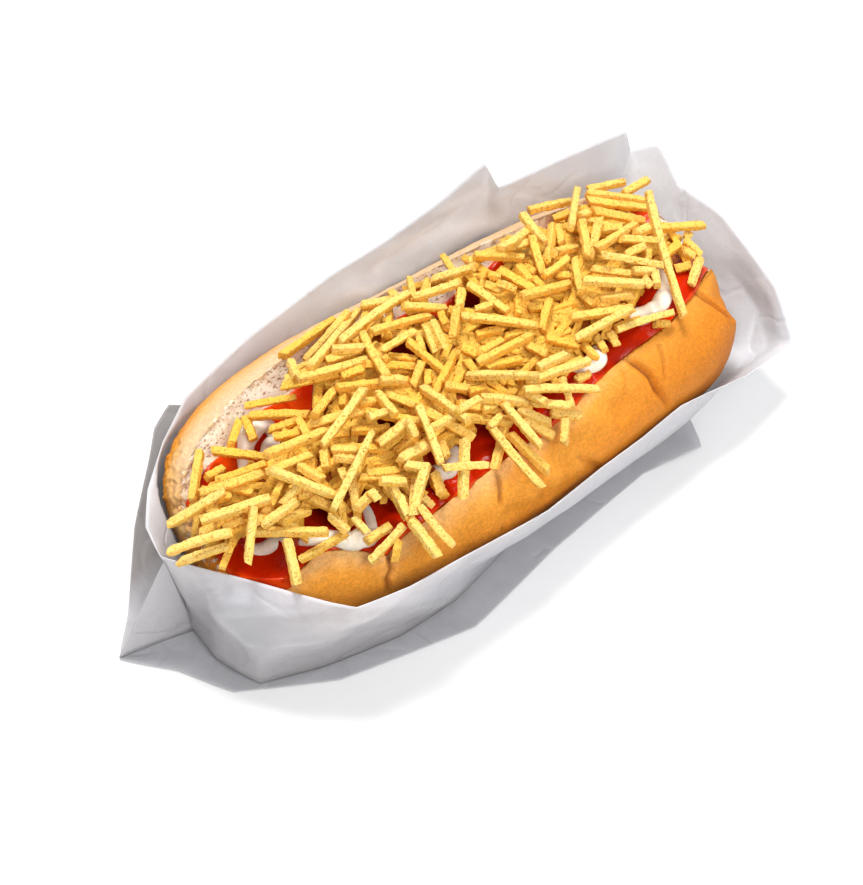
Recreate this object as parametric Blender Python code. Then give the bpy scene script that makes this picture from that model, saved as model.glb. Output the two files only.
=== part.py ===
"""A hot dog in an open paper bag: a split soft bun with ketchup, mayonnaise and shoestring fries.

Every length in this script is in millimetres, and the meshes are scaled to metres as they
are made. +X runs along the bun, -Y is the side that lies lower in the bag, +Z is up, and the
origin is on the flat underside of the bag.
"""
import bisect
import math
import random

import bmesh
import bpy
from mathutils import Matrix, Vector

MM = 0.001
GAP = 0.3  # air between two pieces that touch

# Paper bag: two layers of paper that meet on the table under the bun.
SHEET = 1.0  # thickness of one layer
UPPER_LEVEL = 1.2  # middle of the upper layer where it lies flat
LOWER_LEVEL = 0.5  # middle of the lower layer where it lies flat
BUN_CLEARANCE = 2.0  # from the bread to the middle of the paper beside it
WALL_ROWS = 4
FOLD_STEPS = 2  # columns of the mesh from one fold of the paper to the next
UPPER_FOLDS = (  # each fold of the upper layer, from its rim (x, y, z) down to its foot (x, y)
    ((-87, -3, 38), (-84, -4)),
    ((-75, -17, 38), (-83, -17)),
    ((-64, -30, 38), (-77, -29)),
    ((-54, -41, 38), (-60, -34)),
    ((-40, -43, 37), (-40, -37)),
    ((-25, -42, 35), (-22, -36)),
    ((3, -40, 30), (2, -29)),
    ((23, -36, 27), (22, -27)),
    ((37, -34, 25), (36, -25)),
    ((51, -32, 27), (51, -23)),
    ((61, -31, 24), (61, -21)),
    ((74, -31, 21), (73, -16)),
    ((94, -26, 20), (80, -8)),
    ((95, -15, 29), (82, -1)),
    ((94, 8, 36), (82, 11)),
    ((94, 28, 29), (78, 23)),
    ((93, 37, 38), (72, 29)),
    ((88, 43, 33), (68, 31)),
    ((86, 44, 40), (64, 33)),
    ((65, 46, 41), (54, 34)),
    ((45, 46, 42), (42, 34)),
    ((40, 46, 54), (37, 34)),
    ((26, 46, 49), (24, 34)),
    ((9, 46, 44), (8, 34)),
    ((-9, 46, 41), (-10, 34)),
    ((-34, 46, 33), (-33, 33)),
    ((-44, 44, 31), (-44, 30)),
    ((-58, 38, 33), (-55, 25)),
    ((-70, 28, 35), (-65, 18)),
    ((-80, 17, 36), (-74, 10)),
    ((-86, 7, 37), (-81, 3)),
)
LOWER_FOLDS = (  # the same for the lower layer, which lies flat except behind the left end
    ((-104, -3, 0.5), (-90, -3)),
    ((-93, -14, 0.5), (-80, -10)),
    ((-84, -27, 0.5), (-70, -20)),
    ((-59, -39, 0.5), (-50, -28)),
    ((-22, -45, 0.5), (-20, -34)),
    ((9, -37, 0.5), (8, -26)),
    ((42, -31, 0.5), (38, -22)),
    ((60, -33, 1.5), (54, -22)),
    ((62, -26, 2.5), (56, -16)),
    ((68, 0, 0.5), (58, 0)),
    ((60, 26, 0.5), (50, 20)),
    ((0, 31, 0.5), (0, 22)),
    ((-35, 35, 1.5), (-30, 24)),
    ((-50, 44, 14), (-42, 26)),
    ((-60, 46, 21), (-50, 27)),
    ((-67, 41, 22), (-58, 25)),
    ((-72, 35, 20), (-64, 20)),
    ((-84, 23, 12), (-74, 12)),
    ((-96, 7, 2), (-84, 5)),
)
FIN = ((-86.6, -3.5, 36.5), (-104, -2.6, 0.6), (-83.6, -6.5, 1.4))  # folded corner of the bag
FIN_THICKNESS = 1.1

# Bun, split along its top and opened.
BUN_LEFT = 78.0  # reach of each end from the origin
BUN_RIGHT = 82.5
BUN_FAR = 40.5  # half widths
BUN_NEAR = 36.5
NEAR_TAPER = 0.11  # the near half narrows by this much a millimetre towards +X
BUN_FLOOR = UPPER_LEVEL + SHEET / 2 + GAP
BELLY = 26.0  # height of the widest place
NEAR_TOP = 45.0
FAR_TOP = 49.0
LEFT_POWER = 3.1  # how square the ends are, seen from above
RIGHT_POWER = 5.0
CROWN_POWER = 2.2  # how square the section is above and below the belly
BASE_POWER = 2.6
END_POWER = 4.0  # how square the ends are, seen from the side
FLAT_FOOT = 1.5  # the round section is cut off this far above its lowest place
OPENING_DEPTH = 15.0
OPENING_LEAN = 0.8  # below 1, the deepest place lies nearer to the near edge
OPENING_POWER = 2.4  # how flat the opening's bottom is
OPENING_END = 6  # how near the ends the opening keeps its depth
NEAR_CUT = ((-80, -3), (-77, -11), (-70, -20), (-63, -24), (-54, -24), (-48, -26), (-41, -30),
            (-15, -28), (14, -24.5), (39, -19), (60, -15), (78, -6), (85, -2))
FAR_CUT = ((-80, 2), (-76, 8), (-70, 14), (-63, 18.5), (-50, 24), (-35, 28), (-10, 33.5), (20, 33.5),
           (45, 32), (66, 31), (78, 24), (85, 6))
CUT_LIMIT = 0.88  # the cut edges keep inside this share of the bun's half width
CREASES = (  # place on X, lean, depth and reach (width) of each ring crease in the near crust
    (-37.0, 1.0, 1.1, 1.6),
    (-5.0, 5.0, 1.5, 1.7),
    (30.0, 4.0, 0.7, 1.8),
    (45.0, 9.0, 2.0, 1.7),
    (55.0, 5.0, 0.8, 1.6),
)
CREASE_MIDDLE = 0.5  # angle round the bun at which a leaning crease is at its place on X
CREASE_FADE = 1.2  # angle below the belly over which the creases fade out
BUN_STATIONS = 24  # from the middle to each end
CRUST_STEPS = 8  # around each half
CRUMB_STEPS = 10  # across the opening

# Ketchup bed, along the whole opening.
BED_START = -72.0
BED_END = 78.0
BED_DEPTH = 2.6
BED_RIM = 0.8
BED_LIFT = 1.2  # keeps the bed's flat facets clear of the bread's
BED_TAPER = 6.0  # length over which the bed thins towards each end
BED_POWER = 3  # how flat the bed's top is
BED_NEAR_SHARE = 0.06  # of the opening's width, from the near edge to the bed's near rim
BED_FAR_SHARES = (0.72, 0.9)  # to the bed's far rim, at its left end and from its middle on
BED_WIDENS = (-60.0, 10.0)  # places on X between which the far rim moves outwards
NEAR_WAVES = ((0.025, 7.0, 0.0), (0.02, 3.1, 1.0))  # size, length and start of each wave of a rim
FAR_WAVES = ((0.03, 8.0, 2.0), (0.015, 3.7, 0.0))
BED_STEPS = 7

# Mayonnaise, one ribbon piped to and fro over the ketchup.
MAYO_RADIUS = 2.2
MAYO_START = -66.0
MAYO_END = 64.0
MAYO_PERIOD = 27.0
MAYO_FIRST_TURN = -48.0  # a place on X where the ribbon turns at the near side
MAYO_MARGIN = 3.5  # from the ketchup's rim to the middle of the ribbon
MAYO_ROOM = 0.4  # more than the gap, for the flat facets of the ribbon and of the ketchup
MAYO_EASE = 0.5  # keeps the turns round and the legs straight
SLOPE_STEP = 0.5  # to each side of a place where the ketchup's slope is taken
MAYO_STEPS = 14  # points in one swing to and fro
MAYO_SIDES = 6

# Heap of fries.
FRY_THICKNESS = 2.3
FRY_SHORTEST = 15.0
FRY_LONGEST = 31.0
FRY_CLEARANCE = 3.2  # from what lies under the heap to the middle of a fry
FRY_COUNT = 96
FRY_SEED = 7
HEAP_START = -77.0
HEAP_END = 79.0
HEAP_NEAR = ((-76, -10), (-62, -23), (-45, -28), (-15, -26), (14, -21), (39, -16), (60, -11),
             (79, -2))
HEAP_FAR = ((-76, 5), (-62, 13), (-44, 20), (-26, 23), (3, 28), (37, 30), (66, 28), (79, 12))
HEAP_SIDE = 1.8  # height of the heap's sides above the crust beside them
HEAP_RISE = 11.5  # height of the heap's middle above its sides
HEAP_END_POWER = 3  # how square the heap's ends are
HEAP_POWER = 0.7  # how round the heap's section is
LUMPS = (0.9, 0.6)  # heights of the broad and the small lumps of its outside
CORE_SINK = 1.7  # the core's surface lies this far below the heap's
CORE_INSET = 3.5
CORE_LIFT = 1.1
FRY_HOLD = 0.5  # depth that counts as sunk into the core
FRY_HELD = 3  # the least number of places along a fry that are sunk
FRY_TAPER = 0.92  # thickness of a fry's thinner end, as a share of the other's
FRY_STEPS = 12  # places along a fry where its height is tried
FRY_TURN = 1.5  # largest angle of a fry from the bun's length, seen from above
FRY_TILT = 0.08  # largest slope of a fry against the heap's own
FRY_ROLL = 0.5
FRY_SINKS = (0.8, 1.5)  # depth of a fry's middle below the heap's outside
FRY_SPREAD = 0.618  # step across the heap from one fry to the next, as a share of its width
FRY_SCATTER = 0.15
FRY_INSET = 5.0  # from the heap's ends to the middle of a fry
CRUST_MARGIN = 1.5  # from the bun's outline to a fry's middle line
BED_MARGIN = 1.5  # how far round the ketchup's rim the heap keeps its height over the ketchup
CORE_START = HEAP_START + 2 * CORE_INSET
CORE_END = HEAP_END - 2 * CORE_INSET
CORE_STATIONS = 16
CORE_STEPS = 6


def mix(a, b, share):
    """The value a share of the way from a to b."""
    return a + (b - a) * share


def curve(marks, x):
    """Height at x of a smooth curve through the marks, each an (x, height)."""
    places = [mark[0] for mark in marks]
    heights = [mark[1] for mark in marks]
    x = min(max(x, places[0]), places[-1])
    last = len(marks) - 1
    i = min(max(bisect.bisect_right(places, x) - 1, 0), last - 1)

    def slope(k):
        a = max(k - 1, 0)
        b = min(k + 1, last)
        return (heights[b] - heights[a]) / (places[b] - places[a])

    span = places[i + 1] - places[i]
    t = (x - places[i]) / span
    rise = t * t * (3 - 2 * t)
    start = t * (1 - t) ** 2 * span * slope(i)
    end = t * t * (1 - t) * span * slope(i + 1)
    return mix(heights[i], heights[i + 1], rise) + start - end


def close_at_ends(steps):
    """Shares from 0 to 1 that lie closer together at both ends."""
    return [0.5 - 0.5 * math.cos(math.pi * k / steps) for k in range(steps + 1)]


def round_off(share, power):
    """A superellipse: 1 at share 0, falling to 0 at share 1."""
    return max(1 - min(abs(share), 1) ** power, 0) ** (1 / power)


# ---------------------------------------------------------------- the bun's surfaces

def end_share(x):
    """0 at the origin, 1 at the bun's end."""
    return x / BUN_RIGHT if x > 0 else -x / BUN_LEFT


def half_width(x, side):
    """Half width of the bun at x, on the far side (+1) or the near side (-1)."""
    width = BUN_FAR if side > 0 else BUN_NEAR - NEAR_TAPER * max(x, 0)
    return width * round_off(end_share(x), RIGHT_POWER if x > 0 else LEFT_POWER)


def end_height(x):
    return round_off(end_share(x), END_POWER)


def crust(x, y):
    """Height of the bun's upper crust, as if it had not been cut."""
    side = 1 if y >= 0 else -1
    top = FAR_TOP if side > 0 else NEAR_TOP
    share = abs(y) / max(half_width(x, side), 0.1)
    return BELLY + (top - BELLY) * end_height(x) * round_off(share, CROWN_POWER)


def cut_edge(x, side):
    """Y of the edge where the near or the far crust ends and the crumb begins."""
    if side > 0:
        return min(curve(FAR_CUT, x), CUT_LIMIT * half_width(x, 1))
    return max(curve(NEAR_CUT, x), -CUT_LIMIT * half_width(x, -1))


def crumb(x, y):
    """Height of the cut face inside the opening."""
    near = cut_edge(x, -1)
    far = cut_edge(x, 1)
    share = min(max((y - near) / (far - near), 0), 1)
    bowl = 1 - abs(2 * share ** OPENING_LEAN - 1) ** OPENING_POWER
    depth = OPENING_DEPTH * (1 - end_share(x) ** OPENING_END)
    return mix(crust(x, near), crust(x, far), share) - depth * bowl


def bread(x, y):
    """Height of the top of the cut bun."""
    if cut_edge(x, -1) < y < cut_edge(x, 1):
        return crumb(x, y)
    return crust(x, y)


# ---------------------------------------------------------------- ketchup and mayonnaise

def bed_edge(x, side):
    """Y of the ketchup's wavy rim."""
    near = cut_edge(x, -1)
    far = cut_edge(x, 1)
    if side < 0:
        share = BED_NEAR_SHARE
        waves = NEAR_WAVES
    else:
        first, last = BED_WIDENS
        share = mix(*BED_FAR_SHARES, min(max((x - first) / (last - first), 0), 1))
        waves = FAR_WAVES
    for size, length, start in waves:
        share += size * math.sin(x / length + start)
    return mix(near, far, share)


def bed_thickness(x, y):
    near = bed_edge(x, -1)
    far = bed_edge(x, 1)
    share = min(max((y - near) / (far - near), 0), 1)
    left = min(max((x - BED_START) / BED_TAPER, 0), 1)
    right = min(max((BED_END - x) / BED_TAPER, 0), 1)
    return BED_RIM + BED_DEPTH * left * right * (1 - abs(2 * share - 1) ** BED_POWER)


def ketchup(x, y):
    """Height of the top of the ketchup."""
    return crumb(x, y) + BED_LIFT + bed_thickness(x, y)


def on_bed(x, y, margin=0.0):
    inside = bed_edge(x, -1) - margin < y < bed_edge(x, 1) + margin
    return inside and BED_START - margin < x < BED_END + margin


def mayo_path():
    """Middle line of the ribbon, which clears the ketchup's slopes by the gap."""
    points = []
    reach = MAYO_RADIUS + GAP + MAYO_ROOM
    first = round((MAYO_START - MAYO_FIRST_TURN) / MAYO_PERIOD * MAYO_STEPS)
    last = round((MAYO_END - MAYO_FIRST_TURN) / MAYO_PERIOD * MAYO_STEPS)
    for k in range(first, last + 1):
        turn = 2 * math.pi * k / MAYO_STEPS
        along = turn + MAYO_EASE * math.sin(2 * turn)
        x = MAYO_FIRST_TURN + MAYO_PERIOD * along / (2 * math.pi)
        swing = 0.5 - 0.5 * math.cos(turn)
        near = bed_edge(x, -1) + MAYO_MARGIN
        far = bed_edge(x, 1) - MAYO_MARGIN
        y = mix(near, far, swing)
        slope_y = ketchup(x, y + SLOPE_STEP) - ketchup(x, y - SLOPE_STEP)
        slope_x = ketchup(x + SLOPE_STEP, y) - ketchup(x - SLOPE_STEP, y)
        z = ketchup(x, y) + reach * math.sqrt(1 + slope_y ** 2 + slope_x ** 2)
        points.append(Vector((x, y, z)))
    return points


# ---------------------------------------------------------------- mesh helpers

def make_object(name, points, faces, material):
    """A closed mesh object from points in millimetres."""
    mesh = bpy.data.meshes.new(name)
    mesh.from_pydata([tuple(value * MM for value in point) for point in points], [], faces)
    shape = bmesh.new()
    shape.from_mesh(mesh)
    bmesh.ops.recalc_face_normals(shape, faces=shape.faces)
    shape.to_mesh(mesh)
    shape.free()
    mesh.materials.append(material)
    made = bpy.data.objects.new(name, mesh)
    bpy.context.scene.collection.objects.link(made)
    return made


def make_material(name, color, roughness):
    made = bpy.data.materials.new(name)
    made.use_nodes = True
    shader = made.node_tree.nodes["Principled BSDF"]
    shader.inputs["Base Color"].default_value = (*color, 1)
    shader.inputs["Roughness"].default_value = roughness
    return made


def loft(loops, start=None, end=None):
    """Points and faces of closed loops joined in order, with a fan to each end point."""
    count = len(loops[0])
    points = [point for loop in loops for point in loop]
    faces = []
    for i in range(len(loops) - 1):
        for j in range(count):
            k = (j + 1) % count
            faces.append((i * count + j, i * count + k, (i + 1) * count + k, (i + 1) * count + j))
    for tip, first in ((start, 0), (end, (len(loops) - 1) * count)):
        if tip is not None:
            points.append(tip)
            for j in range(count):
                faces.append((first + j, first + (j + 1) % count, len(points) - 1))
    return points, faces


def slab(places, top, bottom):
    """Points and faces of a slab over a grid of (x, y) places, between two height functions."""
    columns = len(places[0])
    loops = []
    for row in places:
        upper = [(x, y, top(x, y)) for x, y in row]
        lower = [(x, y, bottom(x, y)) for x, y in reversed(row)]
        loops.append(upper + lower)
    points, faces = loft(loops)
    for first in (0, (len(loops) - 1) * 2 * columns):
        for j in range(columns - 1):
            low = 2 * columns - 1 - j
            faces.append((first + j, first + j + 1, first + low - 1, first + low))
    return points, faces


def freeze(target):
    """Replace an object's mesh by what its modifiers make of it, and drop the modifiers."""
    graph = bpy.context.evaluated_depsgraph_get()
    result = bpy.data.meshes.new_from_object(target.evaluated_get(graph))
    target.modifiers.clear()
    target.data = result


def combine(target, others, operation, solver="EXACT"):
    """Unite the others with the target, or cut them out of it, and remove them."""
    group = bpy.data.collections.new("group")
    bpy.context.scene.collection.children.link(group)
    for other in others:
        bpy.context.scene.collection.objects.unlink(other)
        group.objects.link(other)
    step = target.modifiers.new("combine", "BOOLEAN")
    step.operand_type = "COLLECTION"
    step.collection = group
    step.operation = operation
    step.solver = solver
    freeze(target)
    for other in others:
        bpy.data.objects.remove(other)
    bpy.data.collections.remove(group)


def keep_largest_body(target):
    """Drop loose scraps and the walls of sealed hollows."""
    shape = bmesh.new()
    shape.from_mesh(target.data)
    left = set(shape.faces)
    bodies = []
    while left:
        body = [left.pop()]
        for face in body:
            for edge in face.edges:
                beside = edge.link_faces if len(edge.link_faces) == 2 else ()
                for other in beside:
                    if other in left:
                        left.remove(other)
                        body.append(other)
        bodies.append(body)
    bodies.sort(key=len, reverse=True)
    scraps = [face for body in bodies[1:] for face in body]
    bmesh.ops.delete(shape, geom=scraps, context="FACES")
    bmesh.ops.triangulate(shape, faces=shape.faces)
    shape.to_mesh(target.data)
    shape.free()


# ---------------------------------------------------------------- paper bag

def clear_of_bun(x, y, z):
    """Move a place on the paper outwards, level, until it clears the bread."""
    reach = BUN_RIGHT if x > 0 else BUN_LEFT
    width = BUN_FAR if y > 0 else BUN_NEAR - NEAR_TAPER * max(x, 0)
    power = RIGHT_POWER if x > 0 else LEFT_POWER
    if z < BELLY:
        level = (BELLY - z) / (BELLY - BUN_FLOOR + FLAT_FOOT)
        length_share = round_off(level, END_POWER)
        width_share = round_off(level, BASE_POWER)
    else:
        level = (z - BELLY) / ((FAR_TOP if y > 0 else NEAR_TOP) - BELLY)
        length_share = round_off(level, END_POWER)
        width_share = round_off(level, CROWN_POWER)
    reach = reach * length_share + BUN_CLEARANCE
    width = width * width_share + BUN_CLEARANCE
    inside = (abs(x) / reach) ** power + (abs(y) / width) ** power
    grow = max(1, inside ** (-1 / power))
    return (x * grow, y * grow, z)


def paper_layer(name, folds, level, material, beside_bun):
    """One layer of the bag: a flat bottom and a creased wall, given its thickness."""
    columns = []
    for (rim_a, foot_a), (rim_b, foot_b) in zip(folds, folds[1:] + folds[:1]):
        for step in range(FOLD_STEPS):
            share = step / FOLD_STEPS
            rim = [mix(a, b, share) for a, b in zip(rim_a, rim_b)]
            foot = [mix(a, b, share) for a, b in zip(foot_a, foot_b)]
            columns.append((rim, foot))
    loops = [[(foot[0] / 2, foot[1] / 2, level) for rim, foot in columns]]
    for row in range(WALL_ROWS + 1):
        share = row / WALL_ROWS
        loop = []
        for rim, foot in columns:
            x = mix(foot[0], rim[0], share)
            y = mix(foot[1], rim[1], share)
            z = mix(level, rim[2], share)
            loop.append(clear_of_bun(x, y, z) if beside_bun else (x, y, z))
        loops.append(loop)
    points, faces = loft(loops, start=(0, 0, level))
    layer = make_object(name, points, faces, material)
    shape = bmesh.new()
    shape.from_mesh(layer.data)
    bmesh.ops.triangulate(shape, faces=shape.faces)
    bmesh.ops.recalc_face_normals(shape, faces=shape.faces)
    shape.to_mesh(layer.data)
    shape.free()
    thicken = layer.modifiers.new("thickness", "SOLIDIFY")
    thicken.thickness = SHEET * MM
    thicken.offset = 0
    thicken.use_even_offset = True
    freeze(layer)
    return layer


def make_fin(material):
    """The bag's corner, folded to a flat triangle that stands out at the left end."""
    a, b, c = (Vector(corner) for corner in FIN)
    normal = (b - a).cross(c - a).normalized() * FIN_THICKNESS / 2
    front = [tuple(corner + normal) for corner in (a, b, c)]
    back = [tuple(corner - normal) for corner in (a, b, c)]
    points, faces = loft([front, back])
    return make_object("fin", points, faces + [(0, 1, 2), (3, 4, 5)], material)


def make_paper(material):
    paper = paper_layer("paper", UPPER_FOLDS, UPPER_LEVEL, material, True)
    lower = paper_layer("lower", LOWER_FOLDS, LOWER_LEVEL, material, False)
    combine(paper, [lower, make_fin(material)], "UNION")
    keep_largest_body(paper)


# ---------------------------------------------------------------- bun

def bun_section(x):
    """Closed section of the bun at x: the near crust, the base, the far crust and the crumb."""
    section = []
    for side, top in ((-1, NEAR_TOP), (1, FAR_TOP)):
        width = half_width(x, side)
        rise = end_height(x)
        cut = math.acos(min(abs(cut_edge(x, side)) / width, 1) ** (CROWN_POWER / 2))
        half = []
        for step in range(CRUST_STEPS + 1):
            angle = mix(-math.pi / 2, cut, step / CRUST_STEPS)
            power = CROWN_POWER if angle > 0 else BASE_POWER
            out = width * max(math.cos(angle), 0) ** (2 / power)
            up = abs(math.sin(angle)) ** (2 / power)
            crease = crease_depth(x, angle) if side < 0 else 0
            out -= crease * math.cos(angle)
            if angle > 0:
                z = BELLY + (top - BELLY) * rise * up - crease * math.sin(angle)
            else:
                z = BELLY - (BELLY - BUN_FLOOR + FLAT_FOOT) * rise * up
            half.append((x, side * out, max(z, BUN_FLOOR)))
        section.append(half)
    near, far = section
    loop = list(reversed(near)) + far[1:]
    for share in close_at_ends(CRUMB_STEPS)[1:-1]:
        y = mix(far[-1][1], near[-1][1], share)
        loop.append((x, y, crumb(x, y)))
    return loop


def crease_depth(x, angle):
    """Depth at x of the ring creases, which fade out under the bun."""
    depth = 0
    for place, lean, deep, reach in CREASES:
        depth += deep * math.exp(-((x - place - lean * (CREASE_MIDDLE - angle)) / reach) ** 2)
    return depth * min(max(1 + angle / CREASE_FADE, 0), 1)


def bun_stations():
    """Places on X, closer together at the ends and beside the creases."""
    stations = []
    for k in range(-BUN_STATIONS + 1, BUN_STATIONS):
        share = math.sin(math.pi / 2 * k / BUN_STATIONS)
        stations.append(share * (BUN_RIGHT if k > 0 else BUN_LEFT))
    for place, lean, deep, reach in CREASES:
        stations += [place, place + lean / 2]
    return sorted(stations)


def stations_between(start, end):
    """The bun's stations from start to end, which keep other pieces' facets in step with its own."""
    return [start] + [x for x in bun_stations() if start + 1 < x < end - 1] + [end]


def make_bun(material):
    loops = [bun_section(x) for x in bun_stations()]
    ends = (-BUN_LEFT, 0, BELLY), (BUN_RIGHT, 0, BELLY)
    points, faces = loft(loops, *ends)
    bun = make_object("bun", points, faces, material)
    bun.data.shade_smooth()


# ---------------------------------------------------------------- ketchup and mayonnaise

def make_ketchup(material):
    places = []
    for x in stations_between(BED_START, BED_END):
        near = bed_edge(x, -1)
        far = bed_edge(x, 1)
        places.append([(x, mix(near, far, share)) for share in close_at_ends(BED_STEPS)])
    points, faces = slab(places, ketchup, lambda x, y: crumb(x, y) + BED_LIFT)
    bed = make_object("ketchup", points, faces, material)
    bed.data.shade_smooth()


def tube(name, path, radius, material):
    """A tube with pointed ends along a path."""
    loops = []
    for k, middle in enumerate(path):
        ahead = (path[min(k + 1, len(path) - 1)] - path[max(k - 1, 0)]).normalized()
        across = ahead.cross(Vector((0, 0, 1))).normalized()
        above = across.cross(ahead)
        loop = []
        for j in range(MAYO_SIDES):
            turn = 2 * math.pi * j / MAYO_SIDES
            loop.append(tuple(middle + radius * (across * math.cos(turn) + above * math.sin(turn))))
        loops.append(loop)
    start = tuple(path[0] + (path[0] - path[1]).normalized() * radius)
    end = tuple(path[-1] + (path[-1] - path[-2]).normalized() * radius)
    points, faces = loft(loops, start, end)
    return make_object(name, points, faces, material)


# ---------------------------------------------------------------- fries

def heap(x, y):
    """Height of the heap's outside."""
    near = curve(HEAP_NEAR, x)
    far = curve(HEAP_FAR, x)
    share = min(max((y - near) / (far - near), 0), 1)
    side = mix(crust(x, near), crust(x, far), share) + HEAP_SIDE
    ends = round_off(2 * (x - HEAP_START) / (HEAP_END - HEAP_START) - 1, HEAP_END_POWER)
    lumps = LUMPS[0] * math.sin(x / 9.0 + 1.0) * math.cos(y / 7.0)
    lumps += LUMPS[1] * math.sin(x / 4.7 + y / 6.0)
    return side + (HEAP_RISE + lumps) * ends * max(4 * share * (1 - share), 0) ** HEAP_POWER


def core_bottom(x, y):
    return (ketchup(x, y) if on_bed(x, y, BED_MARGIN) else bread(x, y)) + CORE_LIFT


def core_top(x, y):
    return max(heap(x, y) - CORE_SINK, core_bottom(x, y) + 1)


def over_core(x, y):
    across = curve(HEAP_NEAR, x) + CORE_INSET < y < curve(HEAP_FAR, x) - CORE_INSET
    return across and CORE_START < x < CORE_END


def make_core(material, ribbon):
    """The heap's solid inside, cut out round the mayonnaise."""
    places = []
    for i in range(CORE_STATIONS + 1):
        x = mix(CORE_START, CORE_END, i / CORE_STATIONS)
        near = curve(HEAP_NEAR, x) + CORE_INSET
        far = curve(HEAP_FAR, x) - CORE_INSET
        places.append([(x, mix(near, far, j / CORE_STEPS)) for j in range(CORE_STEPS + 1)])
    points, faces = slab(places, core_top, core_bottom)
    core = make_object("fries", points, faces, material)
    groove = tube("groove", ribbon, MAYO_RADIUS + GAP + 0.1, material)
    combine(core, [groove], "DIFFERENCE", "MANIFOLD")
    keep_largest_body(core)
    return core


def highest_below(x, y, ribbon):
    """Height of what a fry may not touch at (x, y)."""
    height = bread(x, y)
    if on_bed(x, y, BED_MARGIN):
        height = max(height, ketchup(x, y))
    for point in ribbon:
        if math.hypot(point.x - x, point.y - y) < MAYO_RADIUS + FRY_THICKNESS:
            height = max(height, point.z + MAYO_RADIUS)
    return height


def fry(name, middle, ahead, length, roll, material):
    """One square fry, slightly thinner at one end."""
    side = ahead.cross(Vector((0, 0, 1))).normalized()
    above = side.cross(ahead)
    turn = Matrix.Rotation(roll, 3, ahead)
    side = turn @ side
    above = turn @ above
    loops = []
    for place, thick in ((-0.5, FRY_THICKNESS), (0.5, FRY_THICKNESS * FRY_TAPER)):
        corners = ((-1, -1), (1, -1), (1, 1), (-1, 1))
        center = middle + ahead * length * place
        loops.append([tuple(center + (side * a + above * b) * thick / 2) for a, b in corners])
    points, faces = loft(loops)
    return make_object(name, points, faces + [(0, 1, 2, 3), (4, 5, 6, 7)], material)


def place_fry(draw, number, ribbon):
    """A fry's middle, direction and length on the heap, or None where it can't clear the rest."""
    x = mix(HEAP_START + FRY_INSET, HEAP_END - FRY_INSET, (number + draw.random()) / FRY_COUNT)
    share = (number * FRY_SPREAD + FRY_SCATTER * draw.random()) % 1
    near = curve(HEAP_NEAR, x)
    far = curve(HEAP_FAR, x)
    y = mix(near + 1, far - 1, share)
    length = draw.uniform(FRY_SHORTEST, FRY_LONGEST)
    heading = draw.uniform(-FRY_TURN, FRY_TURN)
    flat = Vector((math.cos(heading), math.sin(heading), 0))
    run = length * 0.3
    rise = heap(x + flat.x * run, y + flat.y * run) - heap(x - flat.x * run, y - flat.y * run)
    slope = rise / (2 * run) + draw.uniform(-FRY_TILT, FRY_TILT)
    ahead = Vector((flat.x, flat.y, slope)).normalized()
    sink = draw.uniform(*FRY_SINKS)
    middle = Vector((x, y, heap(x, y) - sink))
    roll = draw.uniform(-FRY_ROLL, FRY_ROLL)
    lift = 0
    places = [length * (step / FRY_STEPS - 0.5) for step in range(FRY_STEPS + 1)]
    for place in places:
        point = middle + ahead * place
        side = 1 if point.y > 0 else -1
        if abs(point.y) > half_width(point.x, side) - CRUST_MARGIN:
            return None
        room = highest_below(point.x, point.y, ribbon) + FRY_CLEARANCE - point.z
        lift = max(lift, room)
    middle.z += lift
    held = 0
    for place in places:
        point = middle + ahead * place
        sunk = core_top(point.x, point.y) - point.z + FRY_THICKNESS / 2
        if over_core(point.x, point.y) and sunk > FRY_HOLD:
            held += 1
    return (middle, ahead, length, roll) if held >= FRY_HELD else None


def make_fries(material, ribbon):
    heap_core = make_core(material, ribbon)
    draw = random.Random(FRY_SEED)
    pieces = []
    for number in range(FRY_COUNT):
        placed = place_fry(draw, number, ribbon)
        if placed is not None:
            pieces.append(fry("fry", *placed, material))
    combine(heap_core, pieces, "UNION")
    keep_largest_body(heap_core)


def main():
    for old in list(bpy.data.objects):
        bpy.data.objects.remove(old)
    paper = make_material("paper", (0.80, 0.79, 0.80), 0.45)
    bread_crust = make_material("bread", (0.72, 0.38, 0.12), 0.6)
    red = make_material("ketchup", (0.45, 0.02, 0.01), 0.15)
    cream = make_material("mayonnaise", (0.90, 0.85, 0.68), 0.25)
    potato = make_material("fries", (0.90, 0.62, 0.20), 0.55)
    ribbon = mayo_path()
    make_paper(paper)
    make_bun(bread_crust)
    make_ketchup(red)
    mayo = tube("mayonnaise", ribbon, MAYO_RADIUS, cream)
    mayo.data.shade_smooth()
    make_fries(potato, ribbon)


main()
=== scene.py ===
"""The looks of a hot dog in an open paper bag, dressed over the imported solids.

Lengths are in millimetres and the meshes are scaled to metres as they are made. +X runs along
the bun, -Y is the side that lies lower in the bag, +Z is up. The solids' own shape functions
are repeated here for whole arrays of places, so that each piece lies where its solid lies. A
value that is said to be in pixels is a place in the photograph's frame of 863 by 885.
"""
import math

import bpy
import numpy as np
from mathutils import Matrix, Vector, noise
from mathutils.bvhtree import BVHTree

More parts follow.
